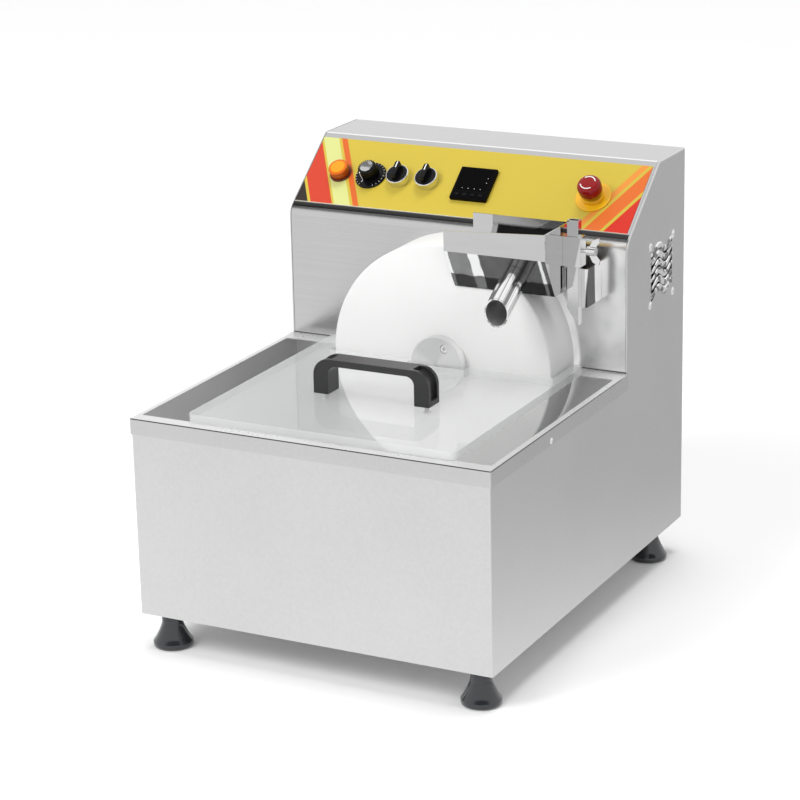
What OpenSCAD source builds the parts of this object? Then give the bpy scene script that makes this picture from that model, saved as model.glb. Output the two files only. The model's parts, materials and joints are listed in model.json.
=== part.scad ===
// Wheel-type chocolate melting tank with a rear drive housing, a scraper chute and a clear lid.
// Millimetres. X runs to the viewer's right, Y from front to back, Z up from the table.
// The origin lies under the middle of the overall box, on the table.

/* [Casing] */
// Width across the two side sheets
body_w = 450; // [440:1:480]
// Depth from the front sheet to the rear cover
body_d = 552; // [548:1:600]
// Height of the housing above the casing's lower edge
body_h = 473; // [468:1:500]
// Depth of the drive housing behind the tank
housing_d = 177; // [172:1:182]
// Height of the tank's rim above the casing's lower edge
tank_h = 238; // [230:1:244]
// Height of the control panel's slope
panel_rise = 77; // [71:1:83]
// Depth of the flat top behind the control panel
top_d = 80; // [70:1:90]
// Outside radius of the fold below the panel
fold_r = 20; // [12:1:22]
// Outside radius of the fold above the panel
top_r = 5; // [3:1:8]
// Thickness of the casing's sheet steel
sheet_t = 1.2; // [1:0.1:1.5]
// Thickness of the base plate
floor_t = 2; // [1.5:0.1:3]
// Width of the flanges that the rear cover is screwed to
return_w = 16; // [14:1:20]

/* [Feet] */
// Height of a foot below the casing
foot_h = 44; // [36:1:60]
// Diameter of a foot's base
foot_d = 47; // [40:1:48]
// Diameter of a foot's neck
foot_neck_d = 24.5; // [22:0.5:30]
// Length of the straight neck
foot_neck_h = 14; // [8:1:18]
// Distance of a foot's axis from the side
foot_side = 26; // [25:1:40]
// Distance of a front foot's axis from the front
foot_front = 25; // [25:1:50]
// Distance of a rear foot's axis from the back
foot_rear = 44; // [25:1:60]
// Diameter of the stud in a foot
stud_d = 8; // [6:1:10]

/* [Tank] */
// Thickness of the rim's sheet
rim_t = 1.5; // [1.2:0.1:2]
// Width of the rim at the front
rim_w = 15; // [12:1:20]
// Width of the rim at the two sides
rim_side = 6; // [5:1:20]
// Width of the rim's shelf beside the wheel at the back
shelf_w = 27; // [22:1:32]
// Height of the lip that hangs over the casing
rim_lip = 19; // [18:1:24]
// Depth of the basin's front wall below the rim
basin_front_h = 78; // [70:1:90]
// Space between the wheel and the basin's floor
sump_gap = 14; // [10:1:22]
// Length of the flat floor under the wheel
basin_flat = 112; // [100:1:130]
// Space between the basin's rear wall and the housing
basin_gap = 1.8; // [1:0.1:2.5]
// Thickness of the heater mat
heater_t = 2; // [1.5:0.1:4]
// Thickness of the insulation blanket
blanket_t = 20; // [15:1:25]

/* [Wheel] */
// Diameter of the wheel
wheel_d = 286; // [270:1:290]
// Width of the wheel
wheel_t = 67; // [64:1:68]
// Offset of the wheel to the right of the middle
wheel_x = 18; // [10:1:24]
// Height of the axle above the rim
axle_rise = 11; // [11:1:14]
// Space between the wheel and the housing
wheel_gap = 8; // [7:0.5:9]
// Thickness of the wheel's rim wall
wheel_wall = 15; // [12:1:20]
// Thickness of the wheel's front web
wheel_web = 20; // [18:1:24]
// Diameter of the wheel's shaft
shaft_d = 16; // [14:1:18]
// Diameter of the hub plate
hub_d = 67; // [60:1:70]
// Thickness of the hub plate
hub_t = 12; // [10:1:14]
// Radius of the hub bolts' circle
hub_bolt_r = 22.3; // [20:0.1:24]
// Angle of the first hub bolt
hub_bolt_a = 63; // [0:1:120]
// Diameter of a hub bolt
hub_bolt_d = 6; // [5:1:6]

/* [Drive] */
// Width of the bearing's square flange
bearing_w = 64; // [60:1:70]
// Length of the bearing
bearing_l = 22; // [20:1:24]
// Diameter of the coupling
coupling_d = 34; // [30:1:38]
// Length of the coupling
coupling_l = 32; // [28:1:34]
// Diameter of the gearbox shaft
gear_shaft_d = 12; // [10:1:12]
// Width and height of the gearbox
gearbox_w = 70; // [66:1:76]
// Length of the gearbox
gearbox_l = 44; // [40:1:46]
// Diameter of the motor
motor_d = 66; // [60:1:70]
// Length of the motor
motor_l = 52; // [46:1:54]
// Thickness of the motor bracket
bracket_t = 3; // [2:0.5:4]

/* [Lid] */
// Thickness of the lid
lid_t = 10; // [8:1:12]
// Width of the lid's arm to the left of the wheel
lid_arm_left = 29; // [21:1:41]
// Width of the lid's arm to the right of the wheel
lid_arm_right = 13; // [10:1:25]
// Distance of the lid's front edge behind the front of the casing
lid_front = 12; // [6:1:13]
// Overlap of the lid's two arms on the rear shelf
lid_rest = 8; // [6:1:12]
// Gap between the lid and the wheel
lid_gap = 4; // [3:0.5:5]
// Radius of the lid's corners
lid_r = 8; // [4:1:10]
// Overall width of the handle
handle_w = 148; // [120:1:160]
// Width of the handle from front to back
handle_d = 26; // [22:1:30]
// Height of the handle
handle_h = 42; // [36:1:50]
// Thickness of the handle's bar
handle_bar = 8; // [7:1:10]
// Thickness of the handle's legs
handle_leg = 19; // [16:1:22]
// Distance of the handle's axis behind the front of the casing
handle_y = 150; // [120:1:180]
// Distance of the handle's middle to the left of the wheel's axle
handle_off = 8; // [0:1:15]

/* [Chute] */
// Distance from the wheel's centre to the chute's left end
chute_left = 21; // [15:1:30]
// Width of the chute
chute_w = 128; // [124:1:130]
// Reach of the chute in front of the wheel
chute_reach = 30; // [24:1:34]
// Reach of the chute behind the wheel's front face
chute_back = 38; // [30:1:44]
// Step of the back plate's left end from the left end of the chute
chute_step = 6; // [0:1:12]
// Height of the chute above the top of the wheel
chute_clear = 2; // [1.5:0.1:4]
// Height of the sloped plate
chute_drop = 48.5; // [44:0.5:52]
// Height of the front plate at the left
chute_lip_left = 24; // [20:1:28]
// Height of the front plate at the right
chute_lip_right = 31; // [28:1:34]
// Thickness of the chute's sheet
chute_t = 1.2; // [1:0.1:1.5]
// Gap between the scraper edge and the wheel
scrape_gap = 0.8; // [0.5:0.1:1.2]
// Offset of the spout to the right of the wheel's centre
spout_off = 106; // [100:1:110]
// Outside diameter of the spout
spout_d = 30; // [26:1:32]
// Wall of the spout
spout_wall = 2; // [1.5:0.1:2.5]
// Reach of the spout's mouth in front of the chute
spout_reach = 39; // [30:1:45]

/* [Post] */
// Width of the post across the chute
post_w = 14; // [12:1:16]
// Depth of the post
post_d = 10; // [10:1:12]
// Wall of the post
post_wall = 1.5; // [1.2:0.1:2]
// Distance of the post's axis from the housing
post_set = 47; // [44:1:50]
// Height of the post's top above the wheel
post_over = 39; // [36:1:50]
// Length of the post
post_l = 126; // [120:1:134]
// Wall of the sleeve between the post and the chute
sleeve_wall = 3.7; // [3:0.1:4.5]
// Height of the sleeve
sleeve_h = 35; // [30:1:38]
// Height of the sleeve's lower edge below the top of the wheel
sleeve_drop = 15; // [10:1:16]
// Height of the bracket that carries the post
post_bracket_h = 46; // [40:1:48]
// Depth of the bracket's lower edge below the top of the wheel
post_bracket_drop = 66; // [64:1:70]
// Diameter of the wing screw
wing_d = 6; // [5:1:8]
// Length of one wing
wing_l = 13; // [10:1:16]

/* [Control panel] */
// Distance of the controls up the panel
panel_u = 61; // [56:1:64]
// Lower edge of the coloured panel film
film_u0 = 13; // [13:0.5:20]
// Bare strip above the film
film_top = 8.85; // [7.85:0.5:18.85]
// Bare strip to the left of the film
film_left = 3; // [3:1:20]
// Bare strip to the right of the film
film_right = 8; // [3:1:20]
// Thickness of the film
film_t = 0.5; // [0.3:0.1:0.8]
// Pilot lamp from the casing's left side
lamp_set = 48; // [43:1:50]
// Speed knob from the lamp
knob_pitch = 42; // [40:1:46]
// Left selector from the knob
sel_set = 39; // [37:1:42]
// Right selector from the left one
sel_pitch = 39; // [36:1:42]
// Temperature controller from the right selector
ctrl_pitch = 63; // [57:1:76]
// Stop button from the casing's right side
stop_set = 63.5; // [60:0.5:85]
// Depth of the switches' barrels behind the panel
barrel_l = 26; // [24:1:30]
// Width of a contact block
contact_w = 26; // [24:1:30]
// Height of a contact block
contact_h = 30; // [26:1:34]
// Length of a contact block
contact_l = 32; // [28:1:36]
// Diameter of the lamp's lens
lamp_d = 25; // [22:1:26]
// Height of the lamp
lamp_h = 14; // [12:1:18]
// Diameter of the knob's skirt
knob_skirt_d = 40; // [34:1:42]
// Diameter of the knob's grip
knob_grip_d = 23; // [20:1:26]
// Height of the knob
knob_h = 21; // [18:1:24]
// Diameter of a selector's bezel
sel_d = 29; // [28:0.5:32]
// Height of a selector's bezel
sel_h = 11; // [9:0.5:13]
// Width of the controller's face
ctrl_w = 48; // [48:1:52]
// Height of the controller's face above the panel
ctrl_h = 6; // [5:0.5:8]
// Depth of the controller behind the panel
ctrl_depth = 70; // [60:1:76]
// Diameter of the stop button's base ring
stop_ring_d = 44; // [40:1:48]
// Diameter of the stop button's head
stop_d = 29; // [28:1:34]
// Height of the stop button
stop_h = 29; // [28:1:32]
// Diameter of the panel holes for lamps and switches
switch_d = 22; // [22:0.5:22.5]

/* [Fan and electrics] */
// Width of the fan
fan_w = 80; // [80:1:82]
// Thickness of the fan
fan_t = 25; // [20:1:26]
// Spacing of the fan's screws
fan_pitch = 71.5; // [71:0.1:73]
// Distance of the fan's axis ahead of the back
fan_set = 72; // [70:1:80]
// Distance of the fan's axis below the top
fan_drop = 134; // [128:1:153]
// Spacing of the wavy vent slots
slot_pitch = 10.3; // [10:0.1:11]
// Width of a vent slot
slot_w = 4.2; // [3:0.1:4.5]
// Height of the wave in a vent slot
slot_wave = 4.2; // [3:0.1:4.5]
// Length of a vent slot
slot_l = 66; // [60:1:68]
// Distance of the mains inlet from the casing's left side
inlet_set = 75; // [65:1:105]
// Height of the mains inlet above the casing's lower edge
inlet_up = 62; // [50:1:80]
// Thickness of the inlet's flange
inlet_lip = 3; // [2:0.5:4]
// Length of the air slots in the rear cover
air_slot_l = 90; // [60:1:110]
// Distance of the electrics from the housing's front wall
bay_set = 50; // [45:1:70]
// Width of the heater relay
relay_w = 70; // [60:1:76]
// Depth of the heater relay
relay_d = 60; // [50:1:64]
// Height of the heater relay with its heat sink
relay_h = 36; // [30:1:44]
// Width of the speed board
board_w = 100; // [90:1:110]
// Depth of the speed board
board_d = 70; // [64:1:80]
// Height of the speed board's stand-offs
board_rise = 10; // [6:1:14]
// Width of the terminal block
term_w = 84; // [82:1:90]
// Depth of the terminal block
term_d = 24; // [22:1:28]
// Height of the terminal block
term_h = 20; // [18:1:26]

/* [Fits] */
// Radial clearance of a turning or sliding round part
run_gap = 0.05; // [0.03:0.01:0.08]
// Gap between parts that move against each other
free_gap = 0.3; // [0.3:0.05:0.5]
// Radial clearance of a screw in its hole
screw_gap = 0.1; // [0.05:0.01:0.2]
// Travel of a controller key
key_travel = 0.6; // [0.4:0.1:0.8]
// Travel of the stop button
stop_travel = 6; // [4:0.5:6]

/* [Hidden] */
$fn = 64;

base_z = foot_h;
tank_d = body_d - housing_d;
fold_h = body_h - panel_rise;
front_y = -(body_d + inlet_lip - rim_t) / 2;
wall_y = front_y + tank_d;
back_y = front_y + body_d;
rim_z = base_z + tank_h;
top_z = base_z + body_h;
fold_z = base_z + fold_h;
top_y = back_y - top_d;
in_x = body_w / 2 - sheet_t;
out_x = body_w / 2;
panel_a = atan2(panel_rise, top_y - wall_y);
panel_l = norm([panel_rise, top_y - wall_y]);
film_u1 = panel_l - film_top;
fold_set = fold_r * tan((90 - panel_a) / 2);
top_set = top_r * tan(panel_a / 2);

wheel_r = wheel_d / 2;
shaft_r = shaft_d / 2;
axle_z = rim_z + axle_rise;
wheel_back_y = wall_y - wheel_gap;
wheel_front_y = wheel_back_y - wheel_t;
hub_y = wheel_front_y - hub_t;
crown_z = axle_z + wheel_r;

open_x = out_x - rim_side;
open_y = front_y + rim_w;
shelf_y = wall_y - shelf_w;
basin_y = wall_y - basin_gap - sheet_t;
basin_floor = axle_z - wheel_r - sump_gap;
basin_knee = rim_z - basin_front_h;
basin_bend = basin_y - basin_flat;
basin_a = atan2(basin_knee - basin_floor, basin_bend - open_y);

bearing_y = wall_y + sheet_t;
coupling_y = bearing_y + bearing_l + 3;
coupling_mid = coupling_y + coupling_l / 2;
gear_y = coupling_y + coupling_l + 4 + bracket_t;
motor_y = gear_y + gearbox_l;
motor_arm = gearbox_w / 2 + 9;

lid_z = rim_z + free_gap;
lid_top = lid_z + lid_t;
lid_y0 = front_y + lid_front;
lid_y1 = shelf_y + lid_rest;
notch_l = wheel_x - wheel_r - lid_gap;
notch_r = wheel_x + wheel_r + lid_gap;
notch_y = wheel_front_y - lid_gap;
lid_left = lid_arm_left - notch_l;
lid_right = notch_r + lid_arm_right;
recess_x = hub_d / 2 + lid_gap;
recess_y = hub_y - lid_gap;
grip_x = wheel_x - handle_off;
grip_y = front_y + handle_y;
leg_x = handle_w / 2 - handle_leg / 2;

chute_x0 = wheel_x + chute_left;
chute_x1 = chute_x0 + chute_w;
back_x = chute_x0 + chute_step;
chute_y0 = wheel_front_y - chute_reach;
chute_y1 = wheel_front_y + chute_back;
chute_z = crown_z + chute_clear;
tip_y = wheel_front_y - scrape_gap;
tip_z = chute_z - chute_drop;
ramp_x = wheel_x + 0.42 * wheel_r;
ramp_z = axle_z + sqrt(wheel_r * wheel_r - pow(0.42 * wheel_r, 2)) + chute_clear + 1.5;
slope_a = atan2(chute_drop, tip_y - chute_t - chute_y0);
spout_x = wheel_x + spout_off;
spout_y = (chute_y0 + tip_y - chute_t) / 2;
spout_z = chute_z - chute_drop / 2;
mouth_y = chute_y0 - spout_reach;

sleeve_w = post_w + 2 * free_gap + 2 * sleeve_wall;
sleeve_d = post_d + 2 * free_gap + 2 * 2.7;
post_x = chute_x1 + sleeve_w / 2;
post_y = wall_y - post_set;
post_top = crown_z + post_over;
sleeve_z = crown_z - sleeve_drop;
wing_z = sleeve_z + 0.54 * sleeve_h;
web_y = post_y + post_d / 2;
web_x0 = chute_x1 + 1.5;
web_x1 = post_x + post_w / 2 + 7;
web_z = crown_z - post_bracket_drop;

lamp_x = lamp_set - out_x;
knob_x = lamp_x + knob_pitch;
sel_a_x = knob_x + sel_set;
sel_b_x = sel_a_x + sel_pitch;
ctrl_x = sel_b_x + ctrl_pitch;
stop_x = out_x - stop_set;

fan_y = back_y - fan_set;
fan_z = top_z - fan_drop;
fan_x = in_x - fan_t;
inlet_x = inlet_set - out_x;
bay_y = wall_y + bay_set;
bay_gap = (2 * in_x - relay_w - board_w - term_w) / 4;
relay_x = bay_gap - in_x;
board_x = relay_x + relay_w + bay_gap;
term_x = board_x + board_w + bay_gap;
inlet_z = base_z + inlet_up;
switch_r = switch_d / 2;
screw_r = 2;
head_r = 3.6;
head_h = 1.4;
csk_sink = 0.3;
csk_h = 2.4;
csk_r = 4.9;

function arc(c, r, a0, a1, n = 8) =
  [for (i = [0:n]) c + r * [cos(a0 + (a1 - a0) * i / n), sin(a0 + (a1 - a0) * i / n)]];
function flip(v) = [for (i = [len(v) - 1:-1:0]) v[i]];

// One face of the folded hood in Y and Z, set in by d from the outside
function hood_face(d) = concat(
  arc([wall_y + fold_r, fold_z - fold_set], fold_r - d, 180, 90 + panel_a),
  arc([top_y + top_set, top_z - top_r], top_r - d, 90 + panel_a, 90)
);

// The underside of the basin in Y and Z, d below it
function basin_under(d, y0, y1) = [
  [y0, basin_knee - (y0 - open_y) * tan(basin_a) - sheet_t / cos(basin_a) - d],
  [basin_bend - sheet_t * tan(basin_a / 2), basin_floor - sheet_t - d],
  [y1, basin_floor - sheet_t - d]
];

// Extrudes a Y and Z outline from x0 to x1
module along_x(x0, x1) {
  translate([x0, 0, 0]) rotate([90, 0, 90]) linear_extrude(x1 - x0) children();
}

// Extrudes an X and Z outline from y0 to y1
module along_y(y0, y1) {
  translate([0, y1, 0]) rotate([90, 0, 0]) linear_extrude(y1 - y0) children();
}

// A box between two corners
module block(a, b) {
  translate(a) cube(b - a);
}

// A round bar along Y
module rod_y(x, z, y0, y1, r) {
  translate([x, y0, z]) rotate([-90, 0, 0]) cylinder(h = y1 - y0, r = r);
}

// A round bar along X
module rod_x(y, z, x0, x1, r) {
  translate([x0, y, z]) rotate([0, 90, 0]) cylinder(h = x1 - x0, r = r);
}

// Places a child on the control panel, u up the slope, with its Z along the panel's normal
module on_panel(x, u = panel_u) {
  translate([x, wall_y + u * cos(panel_a), fold_z + u * sin(panel_a)])
    rotate([panel_a, 0, 0]) children();
}

// A round step between two heights on the panel
module step(h0, h1, r) {
  translate([0, 0, h0]) cylinder(h = h1 - h0, r = r);
}

// Places a child at each sheet screw, with its Z along the screw's head
module each_screw() {
  for (s = [-1, 1]) {
    translate([s * (out_x + rim_t), front_y + 0.41 * tank_d, rim_z - 14])
      rotate([0, s * 90, 0]) children();
  }
  for (y = [-1, 1], z = [-1, 1]) {
    translate([out_x, fan_y + y * fan_pitch / 2, fan_z + z * fan_pitch / 2])
      rotate([0, 90, 0]) children();
  }
  for (s = [-1, 1], z = [base_z + 30, base_z + body_h / 2, top_z - 30]) {
    translate([s * (in_x - return_w / 2), back_y, z]) rotate([-90, 0, 0]) children();
  }
  for (z = [web_z + 10, web_z + post_bracket_h - 10]) {
    translate([web_x0 - 7, wall_y - 2, z]) rotate([90, 0, 0]) children();
  }
  for (s = [-1, 1], z = [-1, 1]) {
    translate([wheel_x + s * (motor_arm + 10), bearing_y + bracket_t, axle_z + z * 30])
      rotate([-90, 0, 0]) children();
  }
}

// The hole of a sheet screw
module screw_hole() {
  translate([0, 0, -12]) cylinder(h = 24, r = screw_r + screw_gap);
}

// One wavy vent slot, seen along X
module wave_slot() {
  w = slot_w / 2;
  polygon(concat(
    [for (i = [0:18]) let (y = slot_l * (i / 18 - 0.5)) [y, w - slot_wave * sin(y * 540 / slot_l)]],
    [for (i = [18:-1:0]) let (y = slot_l * (i / 18 - 0.5)) [y, -w - slot_wave * sin(y * 540 / slot_l)]]
  ));
}

// Front sheet and the two L-shaped side sheets, one folded wrap
module casing_wrap() color("silver") difference() {
  union() {
    for (x = [-out_x, in_x]) {
      along_x(x, x + sheet_t) polygon(concat(
        [[front_y, base_z], [front_y, rim_z - rim_t], [wall_y, rim_z - rim_t]],
        hood_face(0), [[back_y, top_z], [back_y, base_z]]
      ));
    }
    block([-out_x, front_y, base_z], [out_x, front_y + sheet_t, rim_z - rim_t]);
    for (s = [-1, 1]) {
      x = s * (in_x - return_w / 2);
      block([x - return_w / 2, back_y - 2 * sheet_t, base_z + floor_t],
        [x + return_w / 2, back_y - sheet_t, top_z - sheet_t]);
    }
  }
  for (i = [-2.5:1:2.5]) {
    along_x(in_x - 1, out_x + 1) translate([fan_y, fan_z + i * slot_pitch]) wave_slot();
  }
  each_screw() screw_hole();
}

// Housing front wall, control panel and top, one folded sheet
module hood() color("silver") difference() {
  along_x(-in_x, in_x) polygon(concat(
    [[wall_y, base_z + floor_t]], hood_face(0), [[back_y - sheet_t, top_z]],
    [[back_y - sheet_t, top_z - sheet_t]], flip(hood_face(sheet_t)),
    [[wall_y + sheet_t, base_z + floor_t]]
  ));
  panel_holes();
  rod_y(wheel_x, axle_z, wall_y - 5, wall_y + 5, shaft_r + 6);
  each_screw() screw_hole();
}

// The cut-outs for the controls
module panel_holes() {
  for (x = [lamp_x, sel_a_x, sel_b_x, stop_x]) {
    on_panel(x) step(-5, 5, switch_r + screw_gap);
  }
  on_panel(knob_x) step(-5, 5, 5 + screw_gap);
  on_panel(ctrl_x) translate([-22.5, -22.5, -5]) cube([45, 45, 10]);
}

// Floor of the casing
module base_plate() color("silver") difference() {
  block([-in_x, front_y + sheet_t, base_z], [in_x, back_y - sheet_t, base_z + floor_t]);
  each_foot() translate([0, 0, -1]) cylinder(h = floor_t + 2, r = stud_d / 2 + screw_gap);
}

// Removable rear cover with air slots and the inlet's cut-out
module rear_cover() color("silver") difference() {
  block([-in_x, back_y - sheet_t, base_z], [in_x, back_y, top_z]);
  for (i = [0:7]) {
    block([-inlet_x - air_slot_l, back_y - 5, base_z + 90 + 14 * i],
      [-inlet_x, back_y + 5, base_z + 95 + 14 * i]);
  }
  block([inlet_x - 14, back_y - 5, inlet_z - 10.5], [inlet_x + 14, back_y + 5, inlet_z + 10.5]);
  each_screw() screw_hole();
}

// Drop-over frame that hangs over the casing and carries the basin
module tank_rim() color("gainsboro") difference() {
  block([-out_x - rim_t, front_y - rim_t, rim_z - rim_lip], [out_x + rim_t, wall_y, rim_z]);
  block([-out_x, front_y, rim_z - rim_lip - 1], [out_x, wall_y + 1, rim_z - rim_t]);
  block([-open_x, open_y, rim_z - 9], [open_x, shelf_y, rim_z + 1]);
  block([notch_l, open_y, rim_z - 9], [notch_r, basin_y, rim_z + 1]);
  each_screw() screw_hole();
}

// Folded basin with a sloped floor and a sump under the wheel
module basin() color("gainsboro") difference() {
  along_x(-open_x - sheet_t, open_x + sheet_t) polygon(concat(
    [[basin_y + sheet_t, rim_z - rim_t], [open_y - sheet_t, rim_z - rim_t]],
    basin_under(0, open_y - sheet_t, basin_y + sheet_t)
  ));
  along_x(-open_x, open_x) polygon([
    [basin_y, rim_z + 1], [open_y, rim_z + 1], [open_y, basin_knee],
    [basin_bend, basin_floor], [basin_y, basin_floor]
  ]);
}

// Heater mat bonded under the basin
module heater_mat() color("firebrick") along_x(-0.8 * open_x, 0.8 * open_x) polygon(concat(
  basin_under(0, open_y + 60, basin_y - 6), flip(basin_under(heater_t, open_y + 60, basin_y - 6))
));

// Insulation blanket under the heater mat
module insulation() color("khaki") along_x(-0.8 * open_x, 0.8 * open_x) polygon(concat(
  basin_under(heater_t, open_y + 60, basin_y - 6),
  flip(basin_under(heater_t + blanket_t, open_y + 60, basin_y - 6))
));

// Temperature probe with its clamp block under the basin's floor
module temperature_probe() color("dimgray") {
  translate([0.9 * open_x, 0, basin_floor - sheet_t]) {
    block([-6, basin_y - 70, -9], [6, basin_y - 20, 0]);
    rod_y(0, -4.5, basin_y - 90, basin_y - 70, 2.5);
  }
}

// Places a child at each foot's top
module each_foot() {
  for (i = [0:3]) {
    at_foot(i) children();
  }
}

// Places a child at one foot's top, counted front left, front right, rear left, rear right
module at_foot(i) {
  x = out_x - foot_side;
  translate([i % 2 == 0 ? -x : x, i < 2 ? front_y + foot_front : back_y - foot_rear, base_z]) children();
}

// One rubber foot below its mounting face
module foot(i) color("black") at_foot(i) difference() {
  rotate_extrude() polygon(concat(
    [[0, 0], [foot_neck_d / 2, 0], [foot_neck_d / 2, -foot_neck_h]],
    [[foot_d / 2 - 1.5, 8 - foot_h], [foot_d / 2, 5.5 - foot_h], [foot_d / 2, 3 - foot_h]],
    arc([foot_d / 2 - 3, 3 - foot_h], 3, 0, -90, 6), [[0, -foot_h]]
  ));
  translate([0, 0, -26]) cylinder(h = 27, r = stud_d / 2 + screw_gap);
}

module foot_front_left() foot(0);
module foot_front_right() foot(1);
module foot_rear_left() foot(2);
module foot_rear_right() foot(3);

// The studs of the four feet with their nuts
module foot_studs() color("gray") each_foot() {
  translate([0, 0, -25]) cylinder(h = 25 + floor_t + 9, r = stud_d / 2);
  translate([0, 0, floor_t]) cylinder(h = 6, r = 0.95 * stud_d, $fn = 6);
}

// All the pan-head screws of the sheet metal
module sheet_screws() color("gray") each_screw() {
  translate([0, 0, -4]) cylinder(h = 4, r = screw_r);
  cylinder(h = head_h, r = head_r);
}

// Drum-shaped wheel, open at the back
module wheel() color("white") difference() {
  translate([wheel_x, wheel_front_y, axle_z]) rotate([-90, 0, 0]) rotate_extrude($fn = 128) polygon([
    [shaft_r, 0], [wheel_r - 3, 0], [wheel_r, 3], [wheel_r, wheel_t - 3], [wheel_r - 3, wheel_t],
    [wheel_r - wheel_wall, wheel_t], [wheel_r - wheel_wall, wheel_web], [24, wheel_web],
    [24, wheel_t], [shaft_r, wheel_t]
  ]);
  each_hub_bolt() translate([0, 0, -hub_t - 17]) cylinder(h = 17 + hub_t, r = hub_bolt_d / 2 + screw_gap);
}

// Places a child at each hub bolt, with its Z out of the hub's face
module each_hub_bolt() {
  for (a = [hub_bolt_a, hub_bolt_a + 180]) {
    translate([wheel_x + hub_bolt_r * cos(a), hub_y, axle_z + hub_bolt_r * sin(a)])
      rotate([90, 0, 0]) children();
  }
}

// Steel hub plate on the end of the shaft
module hub_plate() color("gainsboro") difference() {
  rod_y(wheel_x, axle_z, hub_y, wheel_front_y, hub_d / 2);
  rod_y(wheel_x, axle_z, hub_y + 4, wheel_front_y + 1, shaft_r);
  each_hub_bolt() {
    translate([0, 0, -hub_t - 1]) cylinder(h = hub_t + 2, r = hub_bolt_d / 2 + screw_gap);
    translate([0, 0, -7]) cylinder(h = 8, r = 5.4);
  }
}

// Socket-head bolts that hold the wheel to the hub plate
module hub_bolts() color("gray") each_hub_bolt() difference() {
  union() {
    translate([0, 0, -7]) cylinder(h = 6, r = 5);
    translate([0, 0, -hub_t - 15]) cylinder(h = hub_t + 9, r = hub_bolt_d / 2);
  }
  translate([0, 0, -4]) cylinder(h = 4, r = 2.9, $fn = 6);
}

// Shaft from the hub plate to the coupling
module wheel_shaft() color("silver") {
  rod_y(wheel_x, axle_z, hub_y + 4, coupling_mid - 0.5, shaft_r);
}

// Square flange bearing on the inside of the housing's front wall
module flange_bearing() color("dimgray") translate([wheel_x, bearing_y, axle_z]) difference() {
  union() {
    block([-bearing_w / 2, 0, -bearing_w / 2], [bearing_w / 2, 9, bearing_w / 2]);
    rod_y(0, 0, 0, bearing_l, 22);
  }
  rod_y(0, 0, -1, bearing_l + 1, shaft_r + run_gap);
  rod_y(0, 0, -1, 4, shaft_r + 6);
}

// Lip seal in the housing's front wall
module shaft_seal() color("black") difference() {
  rod_y(wheel_x, axle_z, wall_y, bearing_y + 4, shaft_r + 6);
  rod_y(wheel_x, axle_z, wall_y - 1, bearing_y + 5, shaft_r + run_gap);
}

// Coupling between the wheel's shaft and the gearbox shaft
module coupling() color("silver") difference() {
  rod_y(wheel_x, axle_z, coupling_y, coupling_y + coupling_l, coupling_d / 2);
  rod_y(wheel_x, axle_z, coupling_y - 1, coupling_mid, shaft_r);
  rod_y(wheel_x, axle_z, coupling_mid - 1, coupling_y + coupling_l + 1, gear_shaft_d / 2);
}

// Output shaft of the gearbox
module gearbox_shaft() color("silver") {
  rod_y(wheel_x, axle_z, coupling_mid + 0.5, gear_y + 28, gear_shaft_d / 2);
}

// Reduction gearbox
module gearbox() color("dimgray") translate([wheel_x, gear_y, axle_z]) difference() {
  block([-gearbox_w / 2, 0, -gearbox_w / 2], [gearbox_w / 2, gearbox_l, gearbox_w / 2]);
  rod_y(0, 0, -1, 30, gear_shaft_d / 2 + run_gap);
}

// Drive motor on the gearbox
module motor() color("black") translate([wheel_x, motor_y, axle_z]) {
  rod_y(0, 0, 0, motor_l - 8, motor_d / 2);
  rod_y(0, 0, motor_l - 8, motor_l, motor_d / 2 - 5);
}

// U-shaped bracket that carries the gearbox on the housing's front wall
module motor_bracket() color("silver") difference() {
  translate([wheel_x, 0, axle_z]) {
    block([-motor_arm, gear_y - bracket_t, -44], [motor_arm, gear_y, 44]);
    for (s = [-1, 1]) {
      x = s * (motor_arm - bracket_t / 2);
      block([x - bracket_t / 2, bearing_y, -44], [x + bracket_t / 2, gear_y, 44]);
      f = s * (motor_arm + 9 - bracket_t / 2);
      block([f - 9 - bracket_t / 2, bearing_y, -44], [f + 9 + bracket_t / 2, bearing_y + bracket_t, 44]);
    }
  }
  rod_y(wheel_x, axle_z, gear_y - bracket_t - 1, gear_y + 1, 22);
  each_screw() screw_hole();
}

// Coloured film on the control panel
module panel_film() color("gold") difference() {
  on_panel(0, 0) translate([film_left - out_x, film_u0, 0])
    cube([body_w - film_left - film_right, film_u1 - film_u0, film_t]);
  panel_holes();
}

// Base of the pilot lamp with its barrel
module lamp_body() color("dimgray") on_panel(lamp_x) {
  step(film_t, film_t + 2.5, lamp_d / 2 + 1.5);
  step(-32, film_t, switch_r);
}

// Amber lens of the pilot lamp
module lamp_lens() color("orange") on_panel(lamp_x) {
  step(film_t + 2.5, lamp_h - 1.5, lamp_d / 2);
  translate([0, 0, lamp_h - 1.5]) cylinder(h = 1.5, r1 = lamp_d / 2, r2 = lamp_d / 2 - 1.5);
}

// Speed knob with its skirt and spindle
module speed_knob() color("black") on_panel(knob_x) {
  step(film_t + free_gap, film_t + 3, knob_skirt_d / 2);
  step(film_t + 3, knob_h - 1.5, knob_grip_d / 2);
  step(-16, film_t + 3, 3);
}

// Bright cap in the knob's face
module knob_cap() color("silver") on_panel(knob_x) step(knob_h - 1.5, knob_h, knob_grip_d / 2 - 3.5);

// Potentiometer behind the panel
module potentiometer() color("dimgray") on_panel(knob_x) difference() {
  union() {
    step(-sheet_t - 18, -sheet_t, 12);
    step(-sheet_t - 1, film_t, 5);
  }
  step(-16 - free_gap, 5, 3 + run_gap);
}

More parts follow.
